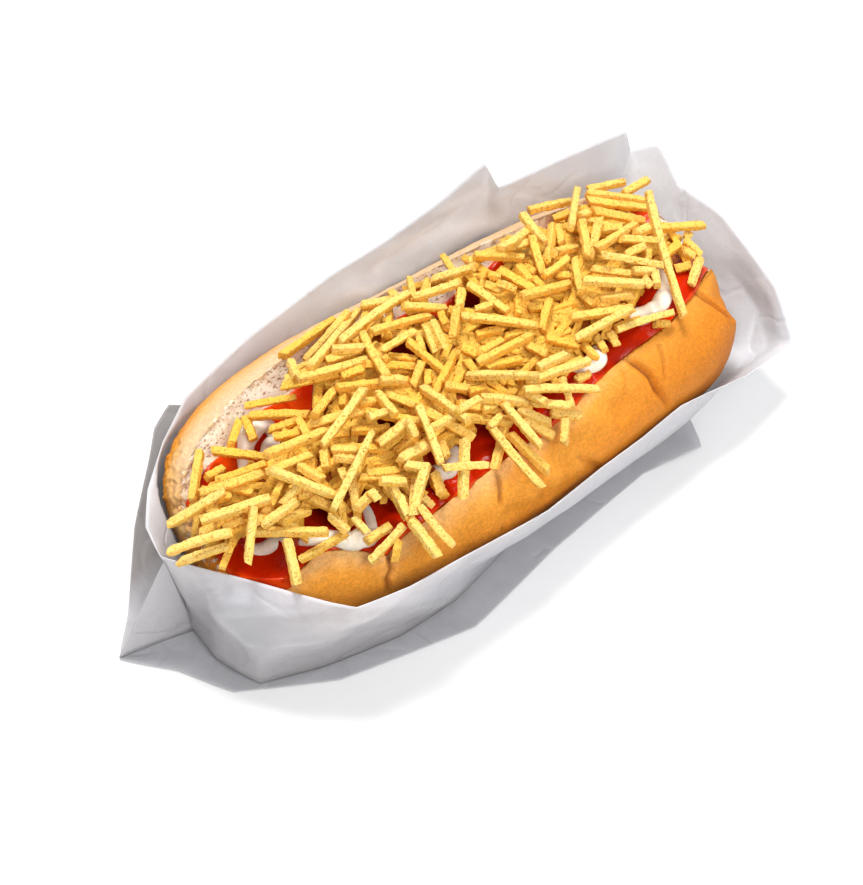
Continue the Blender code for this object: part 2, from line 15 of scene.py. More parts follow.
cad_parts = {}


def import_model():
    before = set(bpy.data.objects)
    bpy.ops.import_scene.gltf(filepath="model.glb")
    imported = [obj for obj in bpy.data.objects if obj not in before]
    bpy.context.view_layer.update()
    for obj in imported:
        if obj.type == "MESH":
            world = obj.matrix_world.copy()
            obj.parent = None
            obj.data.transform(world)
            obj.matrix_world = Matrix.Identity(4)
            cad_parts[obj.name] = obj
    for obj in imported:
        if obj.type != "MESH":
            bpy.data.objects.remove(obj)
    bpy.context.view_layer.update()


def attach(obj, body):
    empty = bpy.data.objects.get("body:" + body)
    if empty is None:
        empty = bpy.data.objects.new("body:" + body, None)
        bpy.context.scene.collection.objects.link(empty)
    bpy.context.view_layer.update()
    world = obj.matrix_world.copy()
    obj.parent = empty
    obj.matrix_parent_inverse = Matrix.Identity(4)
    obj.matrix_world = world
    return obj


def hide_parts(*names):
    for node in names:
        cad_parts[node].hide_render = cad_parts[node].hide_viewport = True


MM = 0.001

# Camera.
FRAME_HEIGHT = 885
FRAME_WIDTH = 863
LENS = 85.0
SENSOR = 36.0
CAMERA_TURN = math.radians(-33)
CAMERA_RISE = math.radians(57)
CAMERA_DISTANCE = 550.0
CAMERA_TARGET = (0, 0, 25)
TARGET_PIXEL = (452, 415)
PIXELS_A_UNIT = LENS / SENSOR * FRAME_HEIGHT

# Bun, as in the solids.
BUN_LEFT = 78.0
BUN_RIGHT = 82.5
BUN_FAR = 40.5
BUN_NEAR = 36.5
NEAR_TAPER = 0.11
BUN_FLOOR = 2.0
BELLY = 26.0
NEAR_TOP = 45.0
FAR_TOP = 49.0
LEFT_POWER = 3.1
RIGHT_POWER = 5.0
CROWN_POWER = 2.2
BASE_POWER = 2.6
END_POWER = 4.0
FLAT_FOOT = 1.5
OPENING_DEPTH = 15.0
OPENING_LEAN = 0.8
OPENING_POWER = 2.4
OPENING_END = 6
NEAR_CUT = ((-80, -3), (-77, -11), (-70, -20), (-63, -24), (-54, -24), (-48, -26), (-41, -30),
            (-15, -28), (14, -24.5), (39, -19), (60, -15), (78, -6), (85, -2))
FAR_CUT = ((-80, 2), (-76, 8), (-70, 14), (-63, 18.5), (-50, 24), (-35, 28), (-10, 33.5), (20, 33.5),
           (45, 32), (66, 31), (78, 24), (85, 6))
CUT_LIMIT = 0.88  # of the half's width, at most, to the cut's edge
BUN_STATIONS = 470
CRUST_STEPS = 70
CRUMB_STEPS = 64
END_CROWDING = 0.7  # of the stations towards the ends
END_CREASE = ((695, 291), (737, 320))  # pixels; the near half's end is narrower above this crease
END_SLOPE = (END_CREASE[1][1] - END_CREASE[0][1]) / (END_CREASE[1][0] - END_CREASE[0][0])
PALE_REACH = 10.0  # how far past the far cut the crust turns from cream to gold
CREASES = (  # ring creases and dents of the near crust: depth, reach, darkness of the painted shade in them, and route in pixels
    (1.2, 0.75, 0.9, ((388, 553), (390, 562), (391, 571), (387, 579), (388, 592))),
    (0.9, 0.55, 0.7, ((495, 470), (499, 482), (500, 500), (502, 530))),
    (1.7, 0.95, 1.0, ((627, 360), (639, 367), (650, 377), (657, 391), (667, 405))),
    (0.7, 0.50, 0.5, ((652, 336), (659, 346), (664, 361), (665, 380))),
    (0.4, 0.45, 0.3, ((621, 367), (625, 379), (625, 402))),
    (1.8, 0.90, 0.9, ((695, 291), (706, 299), (719, 307), (729, 314), (737, 320))),
    (1.3, 3.2, 0.0, ((612, 414), (621, 408), (619, 424))),
    (0.9, 2.6, 0.0, ((508, 508), (512, 516))),
    (0.7, 2.4, 0.0, ((560, 455), (566, 468))),
    (0.8, 1.6, 0.15, ((536, 467), (543, 482), (546, 497))),
    (0.8, 1.2, 0.25, ((575, 456), (588, 462), (600, 470))),
    (0.8, 3.0, 0.0, ((430, 545), (436, 556))),
)

# Ketchup.
BED_START = -74.5
BED_END = 79.0
BED_DEPTH = 1.6
BED_INSET = (  # on X, how far inside the near crust's edge the ketchup's rim lies
    (-76, 0.0), (-69, -2.2), (-64, -1.8), (-59, 0.5), (-51, 0.5), (-46, 0.3), (-41, -0.9), (-36, -0.6),
    (-30, 0.2), (-20, 0.5), (-14, -0.6), (-8, 0.5), (0, 1.2), (5, 1.3), (10, -0.6), (17, -0.8),
    (32, 0.2), (43, 0.9), (50, 0.4), (60, 0.0), (68, -0.3), (74, -0.2), (79, 1.0),
)
NEAR_RIPPLE = (0.3, 1.9)  # height and length of the near rim's small waves
FAR_SHARES = (0.89, 0.97)  # of the opening's width, to the far rim at the left and at the right
FAR_WIDENS = (20, 55)  # places on X between which the far rim moves outwards
FAR_WAVES = ((0.012, 6.0, 2.0), (0.008, 2.7, 0.0))  # size, length and start of each wave
RIM_WIDTH = 2.5  # over which the ketchup rounds up from its rim
RIM_STRETCH = 1.5  # of that width at the bed's ends
BULGE = 1.9  # height of the ketchup over the near crust's edge
BULGE_REACH = 3.0
FALL = 0.30  # slope of the ketchup from there into the opening
FALL_START = 4
BULGE_SWIRL = 0.4  # share of the swirls on that slope
BED_TAPER = 8  # from the bed's ends to its full height
BED_BLEND = 0.8  # how softly the slope and the bed's film run together
SWIRLS = ((0.5, 5.0, 3.0, 0.0), (0.35, 2.3, -4.0, 1.0))  # height, length on X and Y, and start
KETCHUP_STATIONS = 420
KETCHUP_STEPS = 80
KETCHUP_LIFT = 0.05  # of its top, clear of the bread at the rims
KETCHUP_SINK = 0.8  # of its underside into the bread
THICK_KETCHUP = 3.0  # depth at which its colour is darkest

# Heap of fries. Its outline and its outside are as in the solids. The core lies deeper than theirs.
HEAP_START = -77.0
HEAP_END = 79.0
HEAP_NEAR = ((-76, -10), (-62, -23), (-45, -28), (-15, -26), (14, -21), (39, -16), (60, -11),
             (79, -2))
HEAP_FAR = ((-76, 5), (-62, 13), (-44, 20), (-26, 23), (3, 28), (37, 30), (66, 28), (79, 12))
HEAP_SIDE = 1.8
HEAP_RISE = 11.5
HEAP_END_POWER = 3
HEAP_POWER = 0.7
LUMPS = ((0.9, 9.0, 7.0), (0.6, 4.7, 6.0))  # height, and length on X and on Y
CORE_SINK = 7.5  # below the heap's outside
CORE_INSET = 5.0  # from the heap's edges
CORE_ENDS = 6  # from the heap's ends
CORE_STATIONS = 220
CORE_COLUMNS = 90
CORE_LUMPS = (0.8, 3.0, 3, 31.0)  # height, size, octaves and seed
CORE_BASE = 0.4  # above the ketchup, from which the next two go down
CORE_LOWEST = 1.4  # of its top
CORE_BOTTOM = 1.9
CORE_TIP = 0.6  # browning, as of a fry's end
CORE_RIM = (0.8, 0.1)  # where its painted shade is lighter at the far side: start and width, as shares of its width
FRY_THICKNESS = 2.3
FRY_RINGS = 15
FRY_CHAMFER = 0.76  # of a corner of the square section
FRY_SIDES = 8
SEED = 11  # of the random draws for all the fries
SUNK_COUNT = 760  # tries at a fry half sunk in the core
SUNK_REACH = (4, 9)  # half of its length
SUNK_THICKNESS = (0.86, 1.05)  # as shares of FRY_THICKNESS
SUNK_RISE = (0.2, 1.6)  # of its ends above the core
UNDER_COUNT = 1500  # tries at a fry below those on top
UNDER_PLACES = 24  # drawn for each, of which the lowest is taken
UNDER_HEADINGS = 5
UNDER_ENDS = 3  # from the heap's ends
UNDER_SHARES = (0.03, 0.97)  # of the way across the heap
UNDER_LENGTH = (9, 24)
UNDER_THICKNESS = (0.86, 1.08)
UNDER_EXCESS = -0.4  # of a fry above the heap's outside, at most
TOP_THICKNESS = (0.96, 1.1)
TOP_ROUNDS = 6  # of bringing a fry's ends nearer to where it would rest
TOP_STEP = 0.6  # share of the way in each round
FRY_BEND = 0.012  # of its length
FRY_ROLL = 0.3  # radians
FRY_WIDTHS = (0.80, 0.95)  # of the section, as shares of the thickness
FRY_TAPERS = (0.88, 1.0)  # share of the section at the second end
FRY_UNEVEN = 0.035  # of the section, from ring to ring
FRY_BLUNT = (0.86, 1.0)  # share of the section at the last ring
FRY_ROUGH = 0.06  # of each point
FRY_SLANT = 0.25  # of the end faces
FRY_CAP = 0.12  # from the last ring to the middle of the end face
TIP_REACH = 1.3  # of the browning from a fry's end
TIP_SHARES = (0.1, 1.0)  # of that browning at the end
TINTS = (0, 0.35)  # random part of the tint, which is 0 on the heap and 1 deep inside it; the part that grows with depth is painted shade
PAINTED_DEPTH_SHADE = 0.17  # painted shade added for each millimetre below the heap's outside
TINT_RISE = 1.0  # of the place above the outside where nothing is added
HEAP_CEILING = 58.0
OPEN_PATCHES = (  # where the photo shows no fries but those of TOP_FRIES: place and radius in pixels
    (226, 462, 19), (214, 474, 8), (250, 435, 17), (268, 438, 13), (262, 452, 8), (290, 402, 13),
    (306, 396, 9), (275, 411, 9), (318, 519, 11), (333, 528, 6), (240, 566, 14), (262, 562, 18),
    (282, 560, 13), (243, 549, 8), (262, 546, 8), (276, 540, 8), (312, 551, 9), (332, 546, 10),
    (352, 542, 11), (366, 540, 9),
    (372, 530, 10), (373, 512, 10), (388, 525, 13), (400, 512, 10), (368, 495, 7), (385, 424, 5),
    (400, 314, 7), (436, 302, 9), (448, 293, 7), (472, 300, 8), (398, 350, 9), (418, 350, 9), (452, 458, 7),
    (446, 479, 6), (452, 487, 8), (470, 462, 7), (482, 448, 9), (487, 437, 7), (550, 420, 9), (536, 436, 5),
    (581, 400, 6), (598, 362, 8), (597, 380, 8), (610, 366, 9), (620, 352, 9), (632, 338, 8), (640, 312, 7),
    (645, 318, 8), (652, 305, 9), (660, 295, 9), (664, 284, 6), (660, 308, 6), (684, 290, 9), (692, 280, 9),
    (700, 272, 7), (682, 276, 6), (647, 208, 7), (644, 219, 5), (545, 222, 6), (556, 215, 5), (495, 264, 7),
    (492, 467, 4), (518, 448, 5), (434, 457, 4), (606, 242, 3), (655, 281, 5),
)
PATCH_MARGIN = 3.0  # in pixels
OPEN_SINK = 11.0  # how much lower the core lies there
SAUCE_SPREAD = 2.5  # in pixels, of the ketchup's stain on the core round a patch
HEAP_MARGIN = (3, 4)  # of a fry's end beyond the heap on X and on Y, at most
OFF_BUN_LEVEL = 45.0  # of a fry's end that is seen beyond the bun
FAR_LOWEST = 43.0  # of a fry's end on the far side, where it would slip down behind the bun
CELL = 0.5  # of the height map on which the fries come to rest

# Paper. The folds are those of the solids, with some of the rims a little higher or lower.
SHEET = 0.25
UPPER_LEVEL = 1.2
LOWER_LEVEL = 0.5
PAPER_CLEARANCE = 1.6
UPPER_FOLDS = (
    ((-87, -3, 38), (-84, -4)),
    ((-75, -17, 38), (-83, -17)),
    ((-64, -30, 38), (-77, -29)),
    ((-54, -41, 38), (-60, -34)),
    ((-40, -43, 37), (-40, -37)),
    ((-25, -42, 35), (-22, -36)),
    ((3, -40, 30), (2, -29)),
    ((23, -36, 28), (22, -27)),
    ((37, -34, 27), (36, -25)),
    ((51, -32, 28), (51, -23)),
    ((61, -31, 25), (61, -21)),
    ((74, -31, 22.5), (73, -16)),
    ((94, -27, 17), (80, -8)),
    ((95, -15, 29), (82, -1)),
    ((94, 8, 36), (82, 11)),
    ((94, 28, 29), (78, 23)),
    ((93, 37, 38), (72, 29)),
    ((88, 43, 33), (68, 31)),
    ((86, 44, 41.5), (64, 33)),
    ((65, 46, 41), (54, 34)),
    ((45, 46, 42), (42, 34)),
    ((40, 46, 55.5), (37, 34)),
    ((26, 46, 49), (24, 34)),
    ((9, 46, 44), (8, 34)),
    ((-9, 46, 41), (-10, 34)),
    ((-34, 46, 33), (-33, 33)),
    ((-44, 44, 31), (-44, 30)),
    ((-58, 38, 33), (-55, 25)),
    ((-70, 28, 35), (-65, 18)),
    ((-80, 17, 36), (-74, 10)),
    ((-86, 7, 37), (-81, 3)),
)
LOWER_FOLDS = (
    ((-104, -3, 0.5), (-90, -3)),
    ((-93, -14, 0.5), (-80, -10)),
    ((-84, -27, 0.5), (-70, -20)),
    ((-59, -39, 0.5), (-50, -28)),
    ((-22, -45, 0.5), (-20, -34)),
    ((9, -37, 0.5), (8, -26)),
    ((42, -31, 0.5), (38, -22)),
    ((60, -33, 1.5), (54, -22)),
    ((62, -26, 2.5), (56, -16)),
    ((68, 0, 0.5), (58, 0)),
    ((60, 26, 0.5), (50, 20)),
    ((0, 31, 0.5), (0, 22)),
    ((-35, 35, 1.5), (-30, 24)),
    ((-50, 44, 14), (-42, 26)),
    ((-60, 46, 21), (-50, 27)),
    ((-67, 41, 22), (-58, 25)),
    ((-72, 35, 20), (-64, 20)),
    ((-84, 23, 12), (-74, 12)),
    ((-96, 7, 2), (-84, 5)),
)
FIN = ((-86.6, -3.5, 36.5), (-104, -2.6, 0.6), (-83.6, -6.5, 1.4))
FOLD_STEPS = 9
FOLD_ROUNDING = 0.15  # 0 for straight runs between the folds, 1 for a smooth curve
FLOOR_ROWS = 12
WALL_ROWS = 34
CRUMPLE_WAVES = 7  # sets of straight creases that cross each other
CRUMPLE_LENGTHS = (17, 42)
CRUMPLE = 0.6  # height
PAPER_LUMPS = (0.2, 14, 3)  # height, size and octaves
LIFT_REACH = 6  # above a layer's floor, over which its relief begins
STIFF_ROWS = 6  # below the rim, over which the relief falls
STIFF_SHARE = 0.3  # of it at the rim
CREASE_HIGHLIGHT = (1.4, 0.9, 0.16)  # sharpness, width and brightness of the painted highlight along a sharp fold
LOWEST_PAPER = 0.15
FIN_STEPS = 16
WELD_REACH = 0.02
# Lean of the walls: places on X and on Y between which it begins, and its share.
LEFT_LEAN = ((-60, -75), (-6, 2), 1.0)
NEAR_LEAN = ((5, -15), (-10, -20), 0.3)
# Painted light and shade of the paper, from 0 to 1.
WALL_SHADES = (0.20, 0.58, 36, 0.8)  # painted shade, darker at the foot: at the foot, what is added, up to which height, and its power
CUFF_SHADE = (0.24, 4, (-8, -14))  # painted light above CUFF_LINE: change, pixels to it, and where it begins on Y
PEAK_SHADE = (0.05, (42, 48))  # painted light above a height
RIGHT_PAPER_LIGHT = (0.2, (78, 84))  # painted light right of a place on X
FAR_PAPER_SHADE = (-0.04, 20)  # painted shade beyond a place on Y
LOWER_SHADES = (0.60, 0.0)  # painted shade of the lower layer, at its foot and above it
LOWER_FADE = (2, 6)  # heights between which it changes
# painted shade of the folded fin
FIN_SHADE = 0.40
FLARE = 3.2  # how much the walls behind the left end lean out at the top only
CUFF_LINE = (  # below the paper's upper facets on the near side, which are brightened with painted light, in pixels
    (160, 560), (203, 576), (222, 606), (270, 607), (330, 605), (366, 612), (412, 606), (455, 598),
    (520, 556), (600, 490), (700, 410), (792, 350),
)
PAPER_CREASES = (  # sharp folds of the walls: height, reach and route in pixels
    (2.6, 11.0, ((203, 576), (222, 606), (270, 607), (330, 605), (366, 611))),
    (1.5, 9.0, ((222, 606), (250, 638), (285, 640), (318, 639))),
    (1.8, 8.0, ((166, 568), (192, 626), (212, 655), (247, 676))),
    (-1.2, 7.0, ((195, 574), (214, 612), (236, 645))),
    (1.4, 8.0, ((412, 604), (455, 600), (520, 556))),
    (1.6, 9.0, ((737, 286), (753, 313), (746, 338), (736, 364))),
    (1.2, 8.0, ((753, 313), (764, 345))),
    (1.4, 8.0, ((380, 268), (396, 262), (440, 222))),
    (-1.2, 7.0, ((345, 295), (352, 288), (372, 294))),
    (1.2, 6.0, ((470, 200), (440, 236), (400, 262))),
    (1.2, 6.0, ((520, 196), (560, 205), (610, 186))),
)
PAPER_PAINTED_BANDS = (  # painted highlights and shade in bands on the far wall: change, reach and route in pixels
    (0.26, 1.6, ((440, 211), (462, 200), (483, 190))),
    (0.26, 2.2, ((394, 250), (424, 237), (470, 226), (498, 222))),
    (0.20, 1.4, ((377, 276), (394, 250))),
    (0.20, 1.6, ((348, 295), (377, 286))),
    (0.24, 0.9, ((486, 172), (485, 196))),
    (-0.24, 2.0, ((490, 204), (499, 213))),
    (-0.16, 2.6, ((404, 264), (440, 249), (480, 238))),
    (-0.12, 2.4, ((400, 232), (440, 214))),
)


def mix(a, b, share):
    return a + (b - a) * share


def clamp(value):
    return np.clip(value, 0.0, 1.0)


def ramp(value, start, end):
    """0 at the start and before it, rising evenly to 1 at the end."""
    return clamp((value - start) / (end - start))


def spline(marks, t):
    """Points of a smooth curve at the shares t of the way from the second of four marks to the third."""
    p, q, r, s = marks
    return 0.5 * (2 * q + (r - p) * t + (2 * p - 5 * q + 4 * r - s) * t ** 2
                  + (3 * q - p - 3 * r + s) * t ** 3)


def curve(marks, x):
    """Height at x of a smooth curve through the marks, each an (x, height)."""
    places, heights = np.array(marks, float).T
    x = np.clip(x, places[0], places[-1])
    i = np.clip(np.searchsorted(places, x, side="right") - 1, 0, len(places) - 2)
    before = np.maximum(np.arange(len(places)) - 1, 0)
    after = np.minimum(np.arange(len(places)) + 1, len(places) - 1)
    slope = (heights[after] - heights[before]) / (places[after] - places[before])
    span = places[i + 1] - places[i]
    t = (x - places[i]) / span
    rise = t * t * (3 - 2 * t)
    start = t * (1 - t) ** 2 * span * slope[i]
    end = t * t * (1 - t) * span * slope[i + 1]
    return mix(heights[i], heights[i + 1], rise) + start - end


def round_off(share, power):
    """A superellipse: 1 at share 0, falling to 0 at share 1."""
    return np.maximum(1 - np.minimum(np.abs(share), 1) ** power, 0) ** (1 / power)


# ---------------------------------------------------------------- the bun's surfaces

def end_share(x):
    return np.where(x > 0, x / BUN_RIGHT, -x / BUN_LEFT)


def half_width(x, side):
    width = np.where(side > 0, BUN_FAR, BUN_NEAR - NEAR_TAPER * np.maximum(x, 0))
    right = round_off(end_share(x), RIGHT_POWER)
    left = round_off(end_share(x), LEFT_POWER)
    return width * np.where(x > 0, right, left)


def end_height(x):
    return round_off(end_share(x), END_POWER)


def crust(x, y):
    """Height of the bun's upper crust, as if it had not been cut."""
    side = np.where(y >= 0, 1, -1)
    top = np.where(side > 0, FAR_TOP, NEAR_TOP)
    share = np.abs(y) / np.maximum(half_width(x, side), 0.1)
    return BELLY + (top - BELLY) * end_height(x) * round_off(share, CROWN_POWER)


def cut_edge(x, side):
    if side > 0:
        return np.minimum(curve(FAR_CUT, x), CUT_LIMIT * half_width(x, 1))
    return np.maximum(curve(NEAR_CUT, x), -CUT_LIMIT * half_width(x, -1))


def crumb(x, y):
    """Height of the cut face inside the opening."""
    near = cut_edge(x, -1)
    far = cut_edge(x, 1)
    share = clamp((y - near) / (far - near))
    bowl = 1 - np.abs(2 * share ** OPENING_LEAN - 1) ** OPENING_POWER
    depth = OPENING_DEPTH * (1 - end_share(x) ** OPENING_END)
    return mix(crust(x, near), crust(x, far), share) - depth * bowl


def bread(x, y):
    opened = (cut_edge(x, -1) < y) & (y < cut_edge(x, 1))
    return np.where(opened, crumb(x, y), crust(x, y))


# ---------------------------------------------------------------- ketchup's surface

def bed_edge(x, side):
    """Y of the ketchup's wavy rim."""
    if side < 0:
        height, length = NEAR_RIPPLE
        return cut_edge(x, -1) + curve(BED_INSET, x) + height * np.sin(x / length)
    near = cut_edge(x, -1)
    far = cut_edge(x, 1)
    share = mix(*FAR_SHARES, ramp(x, *FAR_WIDENS))
    for size, length, start in FAR_WAVES:
        share = share + size * np.sin(x / length + start)
    return mix(near, far, share)


def rim_share(x, y, width):
    """0 on the ketchup's rim, rounding up to 1 at a distance inside it."""
    across = clamp(np.minimum(y - bed_edge(x, -1), bed_edge(x, 1) - y) / width)
    along = clamp(np.minimum(x - BED_START, BED_END - x) / (RIM_STRETCH * width))
    return np.sqrt(1 - (1 - across) ** 2) * np.sqrt(1 - (1 - along) ** 2)


def ketchup(x, y):
    """Height of the ketchup, which fills the opening up to the near crust's edge."""
    edge = bed_edge(x, -1)
    inside = y - edge
    swirl = sum(height * np.sin(x / long + y / wide + start) for height, long, wide, start in SWIRLS)
    film = bread(x, y) + rim_share(x, y, RIM_WIDTH) * (BED_DEPTH + swirl)
    rise = ramp(inside, 0, BULGE_REACH)
    level = bread(x, edge) + BULGE * np.sqrt(rise) - FALL * np.maximum(inside - FALL_START, 0)
    level = level + BULGE_SWIRL * swirl * rise
    ends = clamp(np.minimum(x - BED_START, BED_END - x) / BED_TAPER)
    level = mix(bread(x, y), level, np.sqrt(ends))
    return 0.5 * (film + level + np.sqrt((film - level) ** 2 + BED_BLEND))


# ---------------------------------------------------------------- camera

def camera_axes():
    turn, rise = CAMERA_TURN, CAMERA_RISE
    back = Vector((math.sin(turn) * math.cos(rise), -math.cos(turn) * math.cos(rise), math.sin(rise)))
    right = Vector((math.cos(turn), math.sin(turn), 0))
    return right, back.cross(right), back


def sight(pixel):
    """The camera's place and the direction in which it sees a pixel."""
    right, up, back = camera_axes()
    across = (pixel[0] - TARGET_PIXEL[0]) / PIXELS_A_UNIT
    above = (TARGET_PIXEL[1] - pixel[1]) / PIXELS_A_UNIT
    eye = Vector(CAMERA_TARGET) + back * CAMERA_DISTANCE
    return eye, (right * across + up * above - back).normalized()


def on_level(pixel, level):
    """The place at a height that the camera sees at a pixel."""
    eye, ahead = sight(pixel)
    return eye + ahead * ((level - eye.z) / ahead.z)


def make_camera():
    right, up, back = camera_axes()
    data = bpy.data.cameras.new("camera")
    data.lens = LENS
    data.sensor_width = SENSOR
    data.shift_x = (FRAME_WIDTH / 2 - TARGET_PIXEL[0]) / FRAME_HEIGHT
    data.shift_y = (TARGET_PIXEL[1] - FRAME_HEIGHT / 2) / FRAME_HEIGHT
    camera = bpy.data.objects.new("camera", data)
    bpy.context.scene.collection.objects.link(camera)
    turn = Matrix((right, up, back)).transposed().to_4x4()
    place = (Vector(CAMERA_TARGET) + back * CAMERA_DISTANCE) * MM
    camera.matrix_world = Matrix.Translation(place) @ turn
    bpy.context.scene.camera = camera


# ---------------------------------------------------------------- mesh helpers

def make_mesh(name, points, faces, smooth=True):
    """A mesh object from an array of points in millimetres and a list of faces."""
    mesh = bpy.data.meshes.new(name)
    mesh.from_pydata((np.asarray(points) * MM).tolist(), [], [tuple(face) for face in faces])
    mesh.update()
    if smooth:
        mesh.shade_smooth()
    made = bpy.data.objects.new(name, mesh)
    bpy.context.scene.collection.objects.link(made)
    return made


def add_values(made, name, values):
    """A number for each vertex, for the materials."""
    layer = made.data.attributes.new(name, "FLOAT", "POINT")
    layer.data.foreach_set("value", np.asarray(values, np.float32))


def ring_faces(rings, count, closed=True):
    """Faces between rings of points that follow each other."""
    faces = []
    last = count if closed else count - 1
    for i in range(rings - 1):
        for j in range(last):
            k = (j + 1) % count
            faces.append((i * count + j, i * count + k, (i + 1) * count + k, (i + 1) * count + j))
    return faces


def slab(name, x, y, top, bottom):
    """A closed mesh between two heights over a grid of places."""
    upper = np.stack([x, y, top], axis=-1)
    lower = np.stack([x, y, bottom], axis=-1)[:, ::-1]
    loops = np.concatenate([upper, lower], axis=1)
    rows, count = loops.shape[:2]
    return make_mesh(name, loops.reshape(-1, 3), ring_faces(rows, count) + ring_caps(rows, count))


def ring_caps(rings, count):
    """The faces that close the first ring and the last."""
    return [tuple(range(count))[::-1], tuple(range((rings - 1) * count, rings * count))]


def normals_of(points, faces):
    """Vertex normals of a mesh given as arrays."""
    points = np.asarray(points)
    normals = np.zeros_like(points)
    quads = np.array(faces)
    diagonal = np.cross(points[quads[:, 2]] - points[quads[:, 0]],
                        points[quads[:, -1]] - points[quads[:, 1]])
    for k in range(quads.shape[1]):
        np.add.at(normals, quads[:, k], diagonal)
    return normals / np.maximum(np.linalg.norm(normals, axis=1, keepdims=True), 1e-9)


def field(points, scale, octaves=3, shift=0.0):
    """Smooth random heights of about -1 to 1 at the points."""
    offset = Vector((shift, shift * 0.7, -shift))
    return np.array([
        noise.fractal(Vector(point) / scale + offset, 0.9, 2.1, octaves) for point in points.tolist()
    ])


def relief(points, height, size, octaves, seed):
    return height * field(points, size, octaves, seed)


def distance_to(points, route):
    """Distance of each point to a polyline, and how far along the line its foot lies."""
    nearest = np.full(len(points), 1e9)
    along = np.zeros(len(points))
    for k, (a, b) in enumerate(zip(route, route[1:])):
        a, b = np.array(a), np.array(b)
        step = b - a
        t = np.clip((points - a) @ step / (step @ step), 0, 1)
        away = np.linalg.norm(points - (a + t[:, None] * step), axis=1)
        closer = away < nearest
        nearest[closer] = away[closer]
        along[closer] = ((k + t) / (len(route) - 1))[closer]
    return nearest, along


def seen_on(tree, pixels):
    """The places of a mesh that the camera sees at the pixels."""
    places = []
    for pixel in pixels:
        hit = tree.ray_cast(*sight(pixel))
        if hit[0] is not None:
            places.append(tuple(hit[0]))
    return places


# ---------------------------------------------------------------- materials

# Colours, as linear red, green and blue.
CRUST_COLORS = (  # from the palest to the darkest, with the browning at which each begins and is full
    (-0.45, 0.05, (0.75, 0.42, 0.15)),
    (0.0, 0.35, (0.78, 0.32, 0.037)),
    (0.3, 0.75, (0.73, 0.245, 0.017)),
    (0.75, 1.25, (0.50, 0.14, 0.008)),
)
CREAM_CRUST = (0.73, 0.50, 0.29)
# colour of the painted shade in the crust's creases and towards its right end
PAINTED_SHADE_BROWN = (0.20, 0.05, 0.01)
CRUMB_TAN = (0.77, 0.62, 0.44)
CRUMB_CREAM = (0.83, 0.74, 0.61)
# painted shade in the crumb's pits
CRUMB_PIT_SHADE = (0.62, 0.44, 0.27)
KETCHUP_THIN = (0.74, 0.075, 0.004)
KETCHUP_THICK = (0.46, 0.014, 0.001)
KETCHUP_SWIRL = (0.50, 0.018, 0.001)
KETCHUP_STAIN = (0.42, 0.016, 0.002)
MAYO_SHADE = (0.86, 0.79, 0.63)
MAYO_WHITE = (0.90, 0.86, 0.76)
PALE_FRIES = ((0.97, 0.685, 0.20), (0.97, 0.57, 0.08))  # at the heap's outside and below it; the darker second is painted shade
# the gold of the cloudy patches, which is the fries' own tone, and the painted shade of each fry's lower
# faces
GOLD_FRIES = ((0.97, 0.53, 0.05), (0.96, 0.42, 0.014))
FRY_TIP = (0.70, 0.33, 0.06)
FRY_SPECK = (0.60, 0.27, 0.03)
FRY_DOT = (0.36, 0.13, 0.012)
HEAP_SHADOW = (0.42, 0.22, 0.12)  # painted shade: these two darken the heap's inside, as of fries in shadow
HEAP_RIM_SHADOW = (0.80, 0.62, 0.42)
# ends of the paper's painted shade and painted light
PAPER_SHADE = (0.22, 0.196, 0.192)
PAPER_LIGHT = (0.61, 0.618, 0.665)
FLOOR_WHITE = (0.9, 0.9, 0.9)


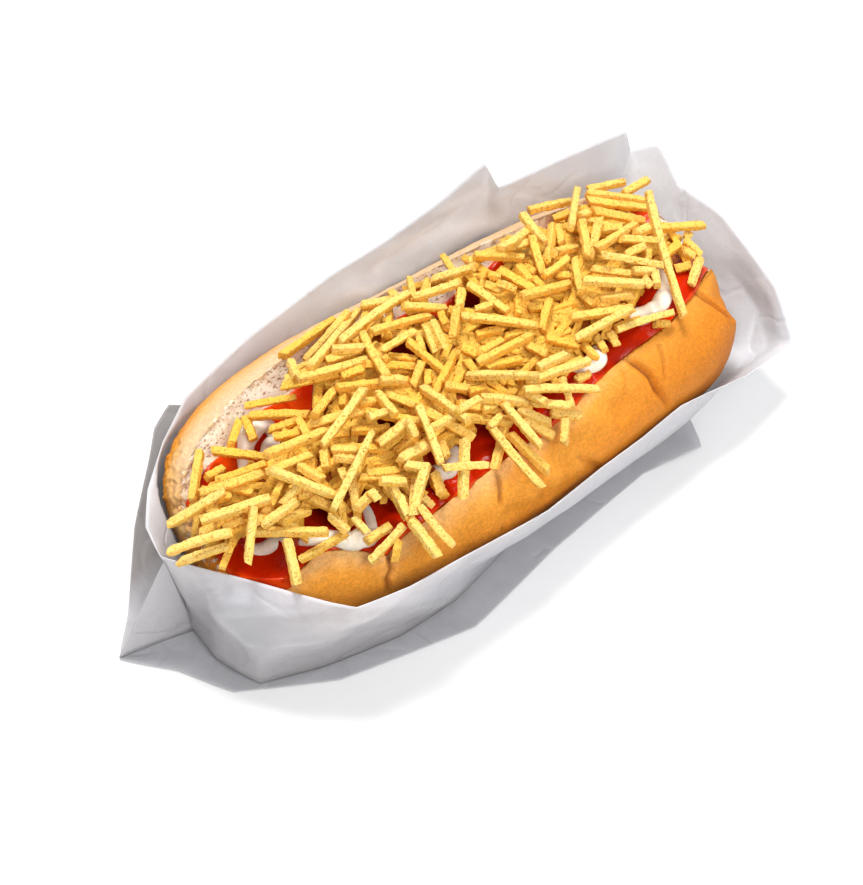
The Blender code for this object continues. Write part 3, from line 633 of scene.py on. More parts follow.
class Nodes:
    """Short calls for building one material's node tree."""

    COLORS = (6, 7)  # the two colour inputs of a Mix node
    MIXED = 2  # and its colour output

    def __init__(self, name):
        self.material = bpy.data.materials.new(name)
        self.material.use_nodes = True
        self.tree = self.material.node_tree
        self.shader = self.tree.nodes["Principled BSDF"]
        self.place = self.add("ShaderNodeTexCoord").outputs["Object"]

    def add(self, kind, **settings):
        node = self.tree.nodes.new(kind)
        for key, value in settings.items():
            setattr(node, key, value)
        return node

    def plug(self, socket, value):
        if isinstance(value, bpy.types.NodeSocket):
            self.tree.links.new(value, socket)
        elif hasattr(value, "__len__") and len(value) == 3 and len(socket.default_value) == 4:
            socket.default_value = (*value, 1)
        else:
            socket.default_value = value

    def set(self, **values):
        for key, value in values.items():
            self.plug(self.shader.inputs[key.replace("_", " ")], value)

    def value(self, name):
        return self.add("ShaderNodeAttribute", attribute_name=name).outputs["Fac"]

    def noise(self, size, detail=3.0, roughness=0.5, distortion=0.0):
        node = self.add("ShaderNodeTexNoise")
        self.plug(node.inputs["Vector"], self.place)
        node.inputs["Scale"].default_value = 1 / (size * MM)
        node.inputs["Detail"].default_value = detail
        node.inputs["Roughness"].default_value = roughness
        node.inputs["Distortion"].default_value = distortion
        return node.outputs["Fac"]

    def cells(self, size):
        node = self.add("ShaderNodeTexVoronoi")
        self.plug(node.inputs["Vector"], self.place)
        node.inputs["Scale"].default_value = 1 / (size * MM)
        return node.outputs["Distance"]

    def ramp(self, value, low, high, start=0.0, end=1.0):
        node = self.add("ShaderNodeMapRange")
        node.interpolation_type = "SMOOTHSTEP"
        self.plug(node.inputs["Value"], value)
        node.inputs["From Min"].default_value = low
        node.inputs["From Max"].default_value = high
        node.inputs["To Min"].default_value = start
        node.inputs["To Max"].default_value = end
        return node.outputs["Result"]

    def blend(self, share, first, second, how="MIX"):
        node = self.add("ShaderNodeMix", data_type="RGBA", blend_type=how)
        self.plug(node.inputs["Factor"], share)
        for socket, color in zip(self.COLORS, (first, second)):
            self.plug(node.inputs[socket], color)
        return node.outputs[self.MIXED]

    def math(self, operation, *values):
        node = self.add("ShaderNodeMath", operation=operation)
        for socket, value in zip(node.inputs, values):
            self.plug(socket, value)
        return node.outputs[0]

    def times(self, a, b):
        return self.math("MULTIPLY", a, b)

    def plus(self, a, b):
        return self.math("ADD", a, b)

    def bump(self, height, distance, strength=1.0):
        node = self.add("ShaderNodeBump")
        self.plug(node.inputs["Height"], height)
        node.inputs["Distance"].default_value = distance * MM
        node.inputs["Strength"].default_value = strength
        self.tree.links.new(node.outputs["Normal"], self.shader.inputs["Normal"])

    def glow(self, weight, radius):
        """Light that scatters below the surface, by up to a radius in metres for each colour."""
        self.set(Subsurface_Weight=weight, Subsurface_Radius=radius, Subsurface_Scale=1.0)


def bread_material():
    n = Nodes("bread")
    toast_and_painted_shade = n.value("toast_and_painted_shade")
    soft = n.value("crumb")
    mottle = n.noise(7, 4, 0.6)
    grain = n.noise(0.9, 4, 0.7)
    fine = n.noise(0.35, 2, 0.6)
    level = n.plus(toast_and_painted_shade, n.ramp(mottle, 0.3, 0.7, -0.06, 0.06))
    crust_color = CREAM_CRUST
    for start, full, color in CRUST_COLORS:
        crust_color = n.blend(n.ramp(level, start, full), crust_color, color)
    speckle = n.ramp(grain, 0.35, 0.65, 0.86, 1.09)
    speckle = n.times(speckle, n.ramp(fine, 0.3, 0.7, 0.9, 1.08))
    crust_color = n.blend(1.0, crust_color, speckle, "MULTIPLY")
    # painted shade: darker in the creases and towards the near crust's right end
    crust_color = n.blend(n.times(n.value("groove"), 0.9), crust_color, PAINTED_SHADE_BROWN)
    holes = n.times(n.ramp(n.cells(1.7), 0.10, 0.34), n.ramp(n.cells(0.8), 0.08, 0.32))
    tan = n.blend(n.ramp(n.noise(7, 4, 0.6), 0.35, 0.7), CRUMB_TAN, CRUMB_CREAM)
    # painted shade: the crumb is darker in its pits
    crumb_color = n.blend(holes, CRUMB_PIT_SHADE, tan)
    ragged = n.plus(soft, n.ramp(n.noise(1.6, 4, 0.7), 0.3, 0.7, -0.28, 0.28))
    edge = n.ramp(ragged, 0.44, 0.58)
    n.set(Base_Color=n.blend(edge, crust_color, crumb_color), Specular_IOR_Level=0.16)
    n.set(Roughness=n.plus(n.ramp(grain, 0.2, 0.8, 0.48, 0.62), n.times(edge, 0.3)))
    height = n.plus(n.times(grain, 0.6), n.times(fine, 0.25))
    n.bump(n.plus(height, n.times(n.times(holes, edge), 1.6)), 0.30, 0.75)
    n.glow(0.12, (0.004, 0.0018, 0.0007))
    return n.material


def ketchup_material():
    n = Nodes("ketchup")
    swirl = n.noise(5, 4, 0.6, 0.6)
    color = n.blend(n.ramp(n.value("depth"), 0.1, 0.8), KETCHUP_THIN, KETCHUP_THICK)
    color = n.blend(n.ramp(swirl, 0.42, 0.72), color, KETCHUP_SWIRL)
    n.set(Base_Color=color, Roughness=n.ramp(n.noise(1.4, 3, 0.6), 0.3, 0.7, 0.08, 0.18))
    n.set(Specular_IOR_Level=0.14)
    n.glow(0.15, (0.003, 0.0004, 0.0002))
    n.bump(n.plus(n.noise(1.6, 3, 0.5), n.times(n.noise(0.5, 2, 0.5), 0.25)), 0.35, 0.6)
    return n.material


def mayonnaise_material():
    n = Nodes("mayonnaise")
    color = n.blend(n.ramp(n.noise(2.5, 3, 0.6), 0.35, 0.7), MAYO_SHADE, MAYO_WHITE)
    n.set(Base_Color=color, Roughness=n.ramp(n.noise(1.0, 2, 0.5), 0.3, 0.7, 0.18, 0.32))
    n.glow(0.3, (0.004, 0.003, 0.002))
    n.bump(n.noise(2.0, 2, 0.5), 0.3, 0.4)
    return n.material


def fries_material(name, inside):
    """Fries, or the heap's inside, which is darkened with painted shade and stained with ketchup."""
    n = Nodes(name)
    tone_and_depth_shade = n.value("tone_and_depth_shade")
    pale = n.blend(tone_and_depth_shade, *PALE_FRIES)
    gold = n.blend(tone_and_depth_shade, *GOLD_FRIES)
    cloudy = n.ramp(n.noise(1.5, 4, 0.65), 0.36, 0.72)
    # painted shade: each fry's lower faces (side) are more golden; the cloudy patches are the fries' own
    # tone
    tone_and_painted_shade = n.plus(n.times(cloudy, 0.45), n.times(n.value("side"), 0.8))
    color = n.blend(n.ramp(tone_and_painted_shade, 0.0, 1.0), pale, gold)
    color = n.blend(n.times(n.value("tip"), 0.5), color, FRY_TIP)
    specks = n.ramp(n.noise(0.75, 2, 0.6), 0.575, 0.66)
    color = n.blend(n.times(specks, 0.7), color, FRY_SPECK)
    dots = n.times(n.ramp(n.cells(0.95), 0.16, 0.26, 1.0, 0.0), n.ramp(n.noise(2.2, 2, 0.5), 0.49, 0.55))
    color = n.blend(n.times(dots, 0.85), color, FRY_DOT)
    if inside:
        shadow = n.blend(n.value("open"), HEAP_SHADOW, HEAP_RIM_SHADOW)
        color = n.blend(1.0, color, shadow, "MULTIPLY")
        color = n.blend(n.value("sauce"), color, KETCHUP_STAIN)
    n.set(Base_Color=color, Roughness=n.ramp(n.noise(0.8, 3, 0.6), 0.3, 0.7, 0.42, 0.6))
    n.set(Specular_IOR_Level=0.35)
    n.glow(0.2, (0.003, 0.0016, 0.0004))
    n.bump(n.plus(n.noise(0.8, 4, 0.7), n.times(n.cells(0.55), 0.4)), 0.65, 0.9)
    return n.material


def paper_material():
    n = Nodes("paper")
    cloud = n.ramp(n.noise(9, 4, 0.6), 0.3, 0.7, 0.94, 1.0)
    # painted light and shade, from the shade values
    color = n.blend(n.value("shade"), PAPER_SHADE, PAPER_LIGHT)
    fibres = n.times(n.ramp(n.noise(0.5, 3, 0.7), 0.35, 0.65, 0.965, 1.0), cloud)
    n.set(Base_Color=n.blend(1.0, color, fibres, "MULTIPLY"), Specular_IOR_Level=0.4)
    n.set(Roughness=n.ramp(n.noise(4, 3, 0.6), 0.3, 0.7, 0.42, 0.6))
    fold = n.math("ABSOLUTE", n.math("SUBTRACT", n.noise(22, 2, 0.5, 0.4), 0.5))
    crinkle = n.plus(n.ramp(fold, 0.0, 0.05, 0.0, 0.35), n.times(n.noise(5, 4, 0.55), 0.7))
    crinkle = n.plus(crinkle, n.times(n.noise(1.2, 3, 0.6), 0.1))
    n.bump(crinkle, 1.0, 0.5)
    n.glow(0.35, (0.003, 0.003, 0.003))
    return n.material


def floor_material():
    n = Nodes("floor")
    shade = n.ramp(n.noise(60, 2, 0.5), 0.3, 0.7, 0.985, 1.0)
    n.set(Base_Color=n.blend(1.0, FLOOR_WHITE, shade, "MULTIPLY"), Roughness=0.9)
    return n.material


# ---------------------------------------------------------------- bun

# Relief of the bread: height, size of the lumps, octaves of finer lumps, and a seed.
SWELLING = (0.55, 24, 2, 0.0)
GRAIN = (0.10, 3.5, 3, 5.0)
CRUMB_RELIEF = (0.32, 3.0, 3, 9.0)
LIP_RELIEF = (0.5, 5.0, 3, 20.0)
TORN_RELIEF = (0.8, 2.4, 3, 40.0)
CRUMB_DEPTH = 0.2  # of the crumb's pits below the cut face
CRUMB_START = 1.5  # from the far edge to the crumb's full relief
LIP_WIDTH = 2.2
TORN_X = (-62, -70)  # places between which the crust begins to be torn
TORN_Y = (-16, -10)
TORN_ABOVE = 4  # from the bun's widest level
KNOB_DEPTH = 1.7  # of the near half's end above its crease
KNOB_EDGE = 10  # in pixels, from the crease to that depth
KNOB_START = 25  # in pixels, along the crease
KNOB_INSIDE = (2, 7)  # distances from the near edge between which it begins
KNOB_CORNER = (60, 12)  # least X and Z
RIGHT_FALL = 0.8  # of the crust's right end
RIGHT_FALL_X = (70, 80)
BASE_ROOM = 0.2  # of the relief below the bun's floor
RIM_RISE = 0.25  # of the swollen rims beside a crease, as a share of its depth
RIM_PLACE = 2.2  # from the crease's middle, in reaches of the crease
RIM_REACH = 1.4
CREASE_WIDTH = 0.5  # of a crease's painted dark line of shade
CREASE_END = 0.12  # share of its depth, before CREASE_FADE, that it still has at its ends
CREASE_FADE = 3.5  # how quickly it comes to its full depth
# Browning of the crust, from about -0.5 at its palest to 1, with painted shade added as browning towards
# the near crust's right end.
NEAR_BROWN = (0.10, 0.85, 0.8)  # at the near edge, what is added down the side, and its power
NEAR_BROWN_Y = (1.5, 21.5)  # distances from the near edge between which it is added
# painted shade: added to the browning, it darkens the near crust towards its right end
RIGHT_PAINTED_SHADE = 0.28
RIGHT_PAINTED_SHADE_X = (10, 60)
RIGHT_SHADE = 0.2  # painted shade of the near crust towards the right end
RIGHT_SHADE_X = (10, 55)
FAR_BROWN = (-0.45, 1.0, 1.8)
LEFT_BROWN = 0.45
LEFT_BROWN_X = (-62, -72)
LEFT_BROWN_Y = (18, 8, -20)  # places between which it begins, and its end
TIP_BROWNS = (0.6, 0.5)
# Where crust turns into crumb.
CUT_BLURS = (1.6, 1.0)  # width of the change on the crumb and on the crust
NEAR_LIP = (0.3, 0.9)  # how much the crust reaches over the near edge, and its width
CRUSTY_END = 0.6  # share of the crumb that is crust at the left end
CRUSTY_X = (-61, -67)
CRUSTY_Y = (12, 6)


def bun_arrays():
    """Points of the cut bun as rings round it, and 1 for each that lies on the crumb."""
    even = np.linspace(-1, 1, BUN_STATIONS + 2)[1:-1]
    spread = mix(even, np.sin(np.pi / 2 * even), END_CROWDING)
    x = np.where(spread > 0, spread * BUN_RIGHT, spread * BUN_LEFT)[:, None]
    halves = []
    for side, top in ((-1, NEAR_TOP), (1, FAR_TOP)):
        width = half_width(x, side)
        rise = end_height(x)
        cut = np.arccos(clamp(np.abs(cut_edge(x, side)) / width) ** (CROWN_POWER / 2))
        share = np.linspace(0, 1, CRUST_STEPS + 1)[None, :] ** 0.8
        angle = mix(-np.pi / 2, cut, share)
        power = np.where(angle > 0, CROWN_POWER, BASE_POWER)
        out = width * np.maximum(np.cos(angle), 0) ** (2 / power)
        up = np.abs(np.sin(angle)) ** (2 / power)
        above = BELLY + (top - BELLY) * rise * up
        below = BELLY - (BELLY - BUN_FLOOR + FLAT_FOOT) * rise * up
        z = np.maximum(np.where(angle > 0, above, below), BUN_FLOOR)
        halves.append(np.stack([np.broadcast_to(x, z.shape), side * out, z], axis=-1))
    near, far = halves
    share = (0.5 - 0.5 * np.cos(np.pi * np.linspace(0, 1, CRUMB_STEPS + 1)))[None, 1:-1]
    y = mix(far[:, -1, 1:2], near[:, -1, 1:2], share)
    inside = np.stack([np.broadcast_to(x, y.shape), y, crumb(x, y)], axis=-1)
    rings = np.concatenate([near[:, ::-1], far[:, 1:], inside], axis=1)
    soft = np.zeros(rings.shape[:2])
    soft[:, near.shape[1] + far.shape[1] - 1:] = 1
    return rings, soft


def crease_relief(points, soft):
    """How much the creases and dents raise the crust, and the painted shade that darkens them and the near
    crust towards its right end.
    """
    tree = BVHTree.FromPolygons(points.tolist(), ring_faces(BUN_STATIONS, len(points) // BUN_STATIONS))
    height = np.zeros(len(points))
    groove = RIGHT_SHADE * ramp(points[:, 0], *RIGHT_SHADE_X) * (points[:, 1] < 0)
    for depth, reach, dark, pixels in CREASES:
        away, along = distance_to(points, seen_on(tree, pixels))
        ends = np.minimum(along + CREASE_END, 1 + CREASE_END - along)
        fade = np.minimum(1, CREASE_FADE * ends)
        height -= depth * fade * np.exp(-(away / reach) ** 2) * (1 - soft)
        beside = (away - RIM_PLACE * reach) / (RIM_REACH * reach)
        height += RIM_RISE * depth * fade * np.exp(-beside ** 2) * (1 - soft)
        groove = np.maximum(groove, dark * fade * np.exp(-(away / CREASE_WIDTH) ** 2))
    return height, groove


def end_knob(points, near_edge):
    """1 where the near half's end is narrower, above the crease at its right end."""
    x, y, z = points.T
    pixels = pixel_of(points)
    start, level = END_CREASE[0]
    beyond = level + (pixels[:, 0] - start) * END_SLOPE - pixels[:, 1]
    knob = clamp(beyond / KNOB_EDGE) * clamp((pixels[:, 0] - start) / KNOB_START)
    least_x, least_z = KNOB_CORNER
    return knob * (x > least_x) * (z > least_z) * ramp(near_edge, *KNOB_INSIDE) * (y < 0)


def browning(x, y, near_edge):
    """How browned the crust is, with painted shade added towards the near crust's right end."""
    least, more, power = NEAR_BROWN
    near = least + more * ramp(near_edge, *NEAR_BROWN_Y) ** power
    near = near + RIGHT_PAINTED_SHADE * ramp(x, *RIGHT_PAINTED_SHADE_X)
    least, more, power = FAR_BROWN
    far = least + more * clamp((y - cut_edge(x, 1)) / PALE_REACH) ** power
    left = ramp(x, *LEFT_BROWN_X) * ramp(y, *LEFT_BROWN_Y[:2]) * (y > LEFT_BROWN_Y[2])
    return np.where(y < 0, near, far) + LEFT_BROWN * left


def crumb_share(x, y, soft, near_edge, far_edge):
    """1 on the crumb, 0 on the crust, and 0.5 along the cut, a little inside it at the near edge."""
    lip = np.minimum(near_edge, far_edge)
    on_crumb, on_crust = CUT_BLURS
    share = np.where(soft > 0.5, 0.5 + 0.5 * clamp(lip / on_crumb), 0.5 - 0.5 * clamp(lip / on_crust))
    over, width = NEAR_LIP
    return share - over * (near_edge < width) - CRUSTY_END * ramp(x, *CRUSTY_X) * ramp(y, *CRUSTY_Y)


def make_bun():
    rings, soft = bun_arrays()
    count = rings.shape[1]
    points = rings.reshape(-1, 3)
    faces = ring_faces(len(rings), count)
    normals = normals_of(points, faces)
    if normals[CRUST_STEPS // 2, 1] > 0:
        normals = -normals
    soft = soft.reshape(-1)
    x, y, z = points.T
    near_edge = np.abs(y - cut_edge(x, -1))
    far_edge = np.abs(y - cut_edge(x, 1))
    lip = np.minimum(near_edge, far_edge)
    torn = ramp(x, *TORN_X) * ramp(y, *TORN_Y) * (z > BELLY + TORN_ABOVE)
    height, groove = crease_relief(points, soft)
    height += relief(points, *SWELLING) * (1 - soft) + relief(points, *GRAIN)
    height += soft * clamp(far_edge / CRUMB_START) * (relief(points, *CRUMB_RELIEF) - CRUMB_DEPTH)
    height += relief(points, *LIP_RELIEF) * np.exp(-(lip / LIP_WIDTH) ** 2)
    height += relief(points, *TORN_RELIEF) * torn
    height -= KNOB_DEPTH * end_knob(points, near_edge) + RIGHT_FALL * ramp(x, *RIGHT_FALL_X)
    points = points + normals * height[:, None]
    points[:, 2] = np.maximum(points[:, 2], BUN_FLOOR - BASE_ROOM)
    tips = np.array([(-BUN_LEFT, 0, BELLY), (BUN_RIGHT, 0, BELLY)])
    first = len(points)
    last = first - count
    for j in range(count):
        k = (j + 1) % count
        faces.append((first, k, j))
        faces.append((first + 1, last + j, last + k))
    bun = make_mesh("bun_bread", np.concatenate([points, tips]), faces)
    add_values(bun, "toast_and_painted_shade", np.append(browning(x, y, near_edge), TIP_BROWNS))
    add_values(bun, "crumb", np.append(crumb_share(x, y, soft, near_edge, far_edge), (0, 0)))
    add_values(bun, "groove", np.append(groove, (0, 0)))
    return bun


# ---------------------------------------------------------------- ketchup and mayonnaise

def make_ketchup():
    x = np.linspace(BED_START, BED_END, KETCHUP_STATIONS)[:, None]
    share = (0.5 - 0.5 * np.cos(np.pi * np.linspace(0, 1, KETCHUP_STEPS)))[None, :]
    y = mix(bed_edge(x, -1), bed_edge(x, 1), share)
    x = np.broadcast_to(x, y.shape)
    floor = bread(x, y)
    top = ketchup(x, y)
    bed = slab("ketchup_sauce", x, y, top + KETCHUP_LIFT, floor - KETCHUP_SINK)
    depth = np.concatenate([top - floor, np.zeros_like(floor)], axis=1) / THICK_KETCHUP
    add_values(bed, "depth", depth.reshape(-1))
    return bed


MAYO_RADIUS = 2.2
MAYO_SIDES = 20
MAYO_FLATNESS = 0.85  # its height as a share of its width
MAYO_WAVES = (1.05, 0.12, 0.10)  # of its width: the middle value, and slow and quick changes
MAYO_ENDS = 12  # points over which it comes to its full width
MAYO_ROUTE = (  # the ribbon's middle as (x, y) and its height above the ketchup
    (-68, -7, -2), (-64, -12, -1.0), (-58, -13, -1.6), (-60, 0, -2.2), (-58, 8, -2.2),
    (-54, 13.5, 0.1), (-50.5, 16, 0.6), (-46, 16.5, 0.5), (-45, 13, 0.3), (-48.5, 11.5, 0.3),
    (-51, 4, -2.2), (-56, -12, -1.4), (-54, -18.5, 0.0), (-49, -22.8, 0.6), (-43.5, -26, 0.7),
    (-39, -24.5, -1.4), (-36, -18, -1.8), (-34, -8, -2.2), (-36, 8, -2.2), (-33, 16, -2.2),
    (-27, 16, -2.2), (-24, 10, -2.2), (-22, -6, -2.2), (-18.5, -18, -1.5), (-15.5, -22, 0.3),
    (-12, -18.5, 0.2), (-9, -10, -2.2), (-10, 12, -2.2), (-7, 20, -2.2), (-1, 20, -2.2), (1, 12, -2.2),
    (0, -8, -2.2), (3, -16, -2.2), (7.5, -15, -2.2), (12, -6, -2.2), (14, 12, -2.2), (18, 20, -2.2),
    (24, 20, -2.2), (27, 12, -2.2), (26, -4, -2.2), (29, -14, -1.4), (33, -16.5, 0.3), (36, -13.5, 0.3),
    (40, -2, -2.2), (40, 14, -2.2), (44, 20, -2.2), (49, 18, -2.2), (50, 8, -2.2), (49, -4, -0.5),
    (51.5, -10, 0.7), (56, -11.5, 0.7), (60.5, -9, 0.7), (64, -5, 0.6), (66, 4, -1),
)
MAYO_STEPS = 10  # points from one place of the route to the next


def mayo_path():
    """Points along the ribbon's middle, on the ketchup."""
    marks = np.array((MAYO_ROUTE[0],) + MAYO_ROUTE + (MAYO_ROUTE[-1],), float)
    t = (np.arange(MAYO_STEPS) / MAYO_STEPS)[:, None]
    run = [spline(marks[i:i + 4], t) for i in range(len(marks) - 3)]
    x, y, rise = np.concatenate(run).T
    return np.stack([x, y, ketchup(x, y) + rise], axis=-1)


def make_mayonnaise():
    path = mayo_path()
    ahead = np.gradient(path, axis=0)
    ahead /= np.linalg.norm(ahead, axis=1, keepdims=True)
    across = np.cross(ahead, (0, 0, 1))
    across /= np.linalg.norm(across, axis=1, keepdims=True)
    above = np.cross(across, ahead)
    angle = np.linspace(0, 2 * np.pi, MAYO_SIDES, endpoint=False)[None, :, None]
    run = np.arange(len(path))
    middle, slow, quick = MAYO_WAVES
    width = MAYO_RADIUS * (middle + slow * np.sin(run / 7.0) + quick * np.sin(run / 3.1 + 1))
    ends = np.minimum(run, run[::-1]) / MAYO_ENDS
    width = width * np.sqrt(1 - (1 - np.minimum(ends + 0.02, 1)) ** 2)
    out = across[:, None] * np.cos(angle) + MAYO_FLATNESS * above[:, None] * np.sin(angle)
    loops = path[:, None] + width[:, None, None] * out
    faces = ring_faces(len(path), MAYO_SIDES) + ring_caps(len(path), MAYO_SIDES)
    return make_mesh("mayonnaise_ribbon", loops.reshape(-1, 3), faces)


# ---------------------------------------------------------------- fries

def heap(x, y):
    """Height of the heap's outside."""
    near = curve(HEAP_NEAR, x)
    far = curve(HEAP_FAR, x)
    share = clamp((y - near) / (far - near))
    side = mix(crust(x, near), crust(x, far), share) + HEAP_SIDE
    ends = round_off(2 * (x - HEAP_START) / (HEAP_END - HEAP_START) - 1, HEAP_END_POWER)
    (high, long, wide), (low, short, narrow) = LUMPS
    lumps = high * np.sin(x / long + 1.0) * np.cos(y / wide) + low * np.sin(x / short + y / narrow)
    return side + (HEAP_RISE + lumps) * ends * np.maximum(4 * share * (1 - share), 0) ** HEAP_POWER


class HeightMap:
    """Heights of what a fry comes to rest on, over a grid of cells."""

    REACH = (96, 46)  # on X and on Y
    BUN_SHARE = 0.995  # of the bun's length that is looked at
    LOWEST_SEEN = 8
    MAYO_CROWN = 0.6  # of its radius, to where a fry rests on it
    FOOT = 0.32  # of a fry's thickness, to each side
    FOOT_COLUMNS = 5
    FOOT_ROWS = 6  # at least
    CARRIED = 0.42  # of a fry's thickness, from what it rests on up to its middle line
    CARRIES = 0.36  # and from there up to what rests on it
    BALANCE = 0.04  # share of its length beside its middle that can't carry it alone
    STEEPEST = 0.5

    def __init__(self, path):
        self.xs, self.ys = (np.arange(-reach, reach, CELL) for reach in self.REACH)
        x, y = np.meshgrid(self.xs, self.ys, indexing="ij")
        inside = (np.abs(x / np.where(x > 0, BUN_RIGHT, BUN_LEFT)) < self.BUN_SHARE)
        safe_x = np.clip(x, -BUN_LEFT * self.BUN_SHARE, BUN_RIGHT * self.BUN_SHARE)
        height = np.where(inside, bread(safe_x, y), BUN_FLOOR)
        side = np.where(y > 0, 1, -1)
        height = np.where(np.abs(y) < half_width(safe_x, side), height, BUN_FLOOR)
        on_bed = (bed_edge(safe_x, -1) < y) & (y < bed_edge(safe_x, 1))
        on_bed &= (x > BED_START) & (x < BED_END)
        height = np.where(on_bed, np.maximum(height, ketchup(safe_x, y)), height)
        for px, py, pz in path[::2]:
            near = np.hypot(x - px, y - py)
            top = np.maximum(height, pz + self.MAYO_CROWN * MAYO_RADIUS)
            height = np.where(near < MAYO_RADIUS, top, height)
        across = (curve(HEAP_NEAR, x) + CORE_INSET < y) & (y < curve(HEAP_FAR, x) - CORE_INSET)
        inner = across & (x > HEAP_START + CORE_ENDS) & (x < HEAP_END - CORE_ENDS)
        self.z = np.where(inner, np.maximum(height, core_level(safe_x, y)), height)

    def cell(self, x, y):
        i = np.clip(np.rint((x - self.xs[0]) / CELL).astype(int), 0, len(self.xs) - 1)
        j = np.clip(np.rint((y - self.ys[0]) / CELL).astype(int), 0, len(self.ys) - 1)
        return i, j

    def seen(self, pixel):
        """Height at which the camera's line of sight through a pixel meets the heap."""
        eye, ahead = sight(pixel)
        levels = np.arange(HEAP_CEILING, self.LOWEST_SEEN, -CELL)
        run = (levels - eye.z) / ahead.z
        below = self.z[self.cell(eye.x + ahead.x * run, eye.y + ahead.y * run)] >= levels
        return levels[np.argmax(below)] if below.any() else OFF_BUN_LEVEL

    def footprint(self, a, b, thickness):
        """Places under a fry from a to b: rows along it, columns across it."""
        run = np.hypot(b[0] - a[0], b[1] - a[1])
        share = np.linspace(0, 1, max(int(run / CELL) + 1, self.FOOT_ROWS))
        ahead = np.array([b[0] - a[0], b[1] - a[1]]) / max(run, 1e-6)
        offsets = np.linspace(-self.FOOT, self.FOOT, self.FOOT_COLUMNS) * thickness
        x = mix(a[0], b[0], share)[:, None] - ahead[1] * offsets
        y = mix(a[1], b[1], share)[:, None] + ahead[0] * offsets
        return share, x, y

    def rest(self, a, b, thickness):
        """Heights of both ends of a fry's middle line where it comes to rest."""
        share, x, y = self.footprint(a, b, thickness)
        height = self.z[self.cell(x, y)].max(axis=1) + thickness * self.CARRIED
        t = share - 0.5
        left = t < -self.BALANCE
        right = t > self.BALANCE
        tl, hl = t[left][:, None], height[left][:, None]
        tr, hr = t[right][None, :], height[right][None, :]
        middle = (hl * tr - hr * tl) / (tr - tl)
        i, j = np.unravel_index(np.argmax(middle), middle.shape)
        slope = (hr[0, j] - hl[i, 0]) / (tr[0, j] - tl[i, 0])
        run = np.hypot(b[0] - a[0], b[1] - a[1])
        slope = np.clip(slope, -self.STEEPEST * run, self.STEEPEST * run)
        level = (height - slope * t).max()
        return level - slope / 2, level + slope / 2

    def fill(self, a, b, za, zb, thickness):
        share, x, y = self.footprint(a, b, thickness)
        top = np.broadcast_to(mix(za, zb, share)[:, None] + thickness * self.CARRIES, x.shape)
        np.maximum.at(self.z, self.cell(x, y), top)


def sunk_fries(heights, draw):
    """Fries half sunk in the core, which show in the gaps between those above."""
    placed = []
    for number in range(SUNK_COUNT):
        x = draw.uniform(HEAP_START + CORE_ENDS, HEAP_END - CORE_ENDS)
        near, far = curve(HEAP_NEAR, x) + CORE_INSET, curve(HEAP_FAR, x) - CORE_INSET
        middle = np.array([x, mix(near, far, draw.uniform(0, 1))])
        heading = draw.uniform(-np.pi / 2, np.pi / 2)
        reach = np.array([np.cos(heading), np.sin(heading)]) * draw.uniform(*SUNK_REACH)
        thickness = FRY_THICKNESS * draw.uniform(*SUNK_THICKNESS)
        a, b = middle - reach, middle + reach
        za, zb = (float(heap(*end)) - CORE_SINK + draw.uniform(*SUNK_RISE) for end in (a, b))
        if not within(a) or not within(b) or covers_patch((*a, za), (*b, zb)):
            continue
        placed.append((np.array([*a, za]), np.array([*b, zb]), thickness))
    for a, b, thickness in placed:
        heights.fill(a[:2], b[:2], a[2], b[2], thickness)
    return placed


def under_fries(heights, draw):
    """Fries that come to rest at random, always where the heap is lowest against its outline."""
    placed = []
    for number in range(UNDER_COUNT):
        x = draw.uniform(HEAP_START + UNDER_ENDS, HEAP_END - UNDER_ENDS, UNDER_PLACES)
        near, far = curve(HEAP_NEAR, x), curve(HEAP_FAR, x)
        y = mix(near, far, draw.uniform(*UNDER_SHARES, UNDER_PLACES))
        room = heap(x, y) - heights.z[heights.cell(x, y)]
        lowest = int(np.argmax(room))
        middle = np.array([x[lowest], y[lowest]])
        length = draw.uniform(*UNDER_LENGTH)
        thickness = FRY_THICKNESS * draw.uniform(*UNDER_THICKNESS)
        best = None
        for heading in draw.uniform(-np.pi / 2, np.pi / 2, UNDER_HEADINGS):
            reach = np.array([np.cos(heading), np.sin(heading)]) * length / 2
            a, b = middle - reach, middle + reach
            if not within(a) or not within(b):
                continue
            za, zb = heights.rest(a, b, thickness)
            if covers_patch((*a, za), (*b, zb)):
                continue
            levels = ((a, za), (b, zb), (middle, (za + zb) / 2))
            excess = max(level - float(heap(*place)) for place, level in levels)
            if best is None or excess < best[0]:
                best = (excess, a, b, za, zb)
        if best is None or best[0] > UNDER_EXCESS:
            continue
        excess, a, b, za, zb = best
        heights.fill(a, b, za, zb, thickness)
        placed.append((np.array([*a, za]), np.array([*b, zb]), thickness))
    return placed


def pixel_of(points):
    """The pixels at which the camera sees places, from an array of them."""
    right, up, back = (np.array(axis) for axis in camera_axes())
    away = np.asarray(points) - (np.array(CAMERA_TARGET) + back * CAMERA_DISTANCE)
    depth = -(away @ back) / PIXELS_A_UNIT
    return np.stack([TARGET_PIXEL[0] + away @ right / depth, TARGET_PIXEL[1] - away @ up / depth], axis=-1)


def covers_patch(a, b):
    """Whether a fry would hide one of the open patches."""
    ends = pixel_of(np.array([a, b]))
    patches = np.array(OPEN_PATCHES, float)
    away, along = distance_to(patches[:, :2], [tuple(ends[0]), tuple(ends[1])])
    return bool((away < patches[:, 2] + PATCH_MARGIN).any())


def within(place):
    """Whether a fry's end lies on the bun and near the heap."""
    x, y = place
    along, across = HEAP_MARGIN
    if not HEAP_START - along < x < HEAP_END + along:
        return False
    return curve(HEAP_NEAR, x) - across < y < curve(HEAP_FAR, x) + across


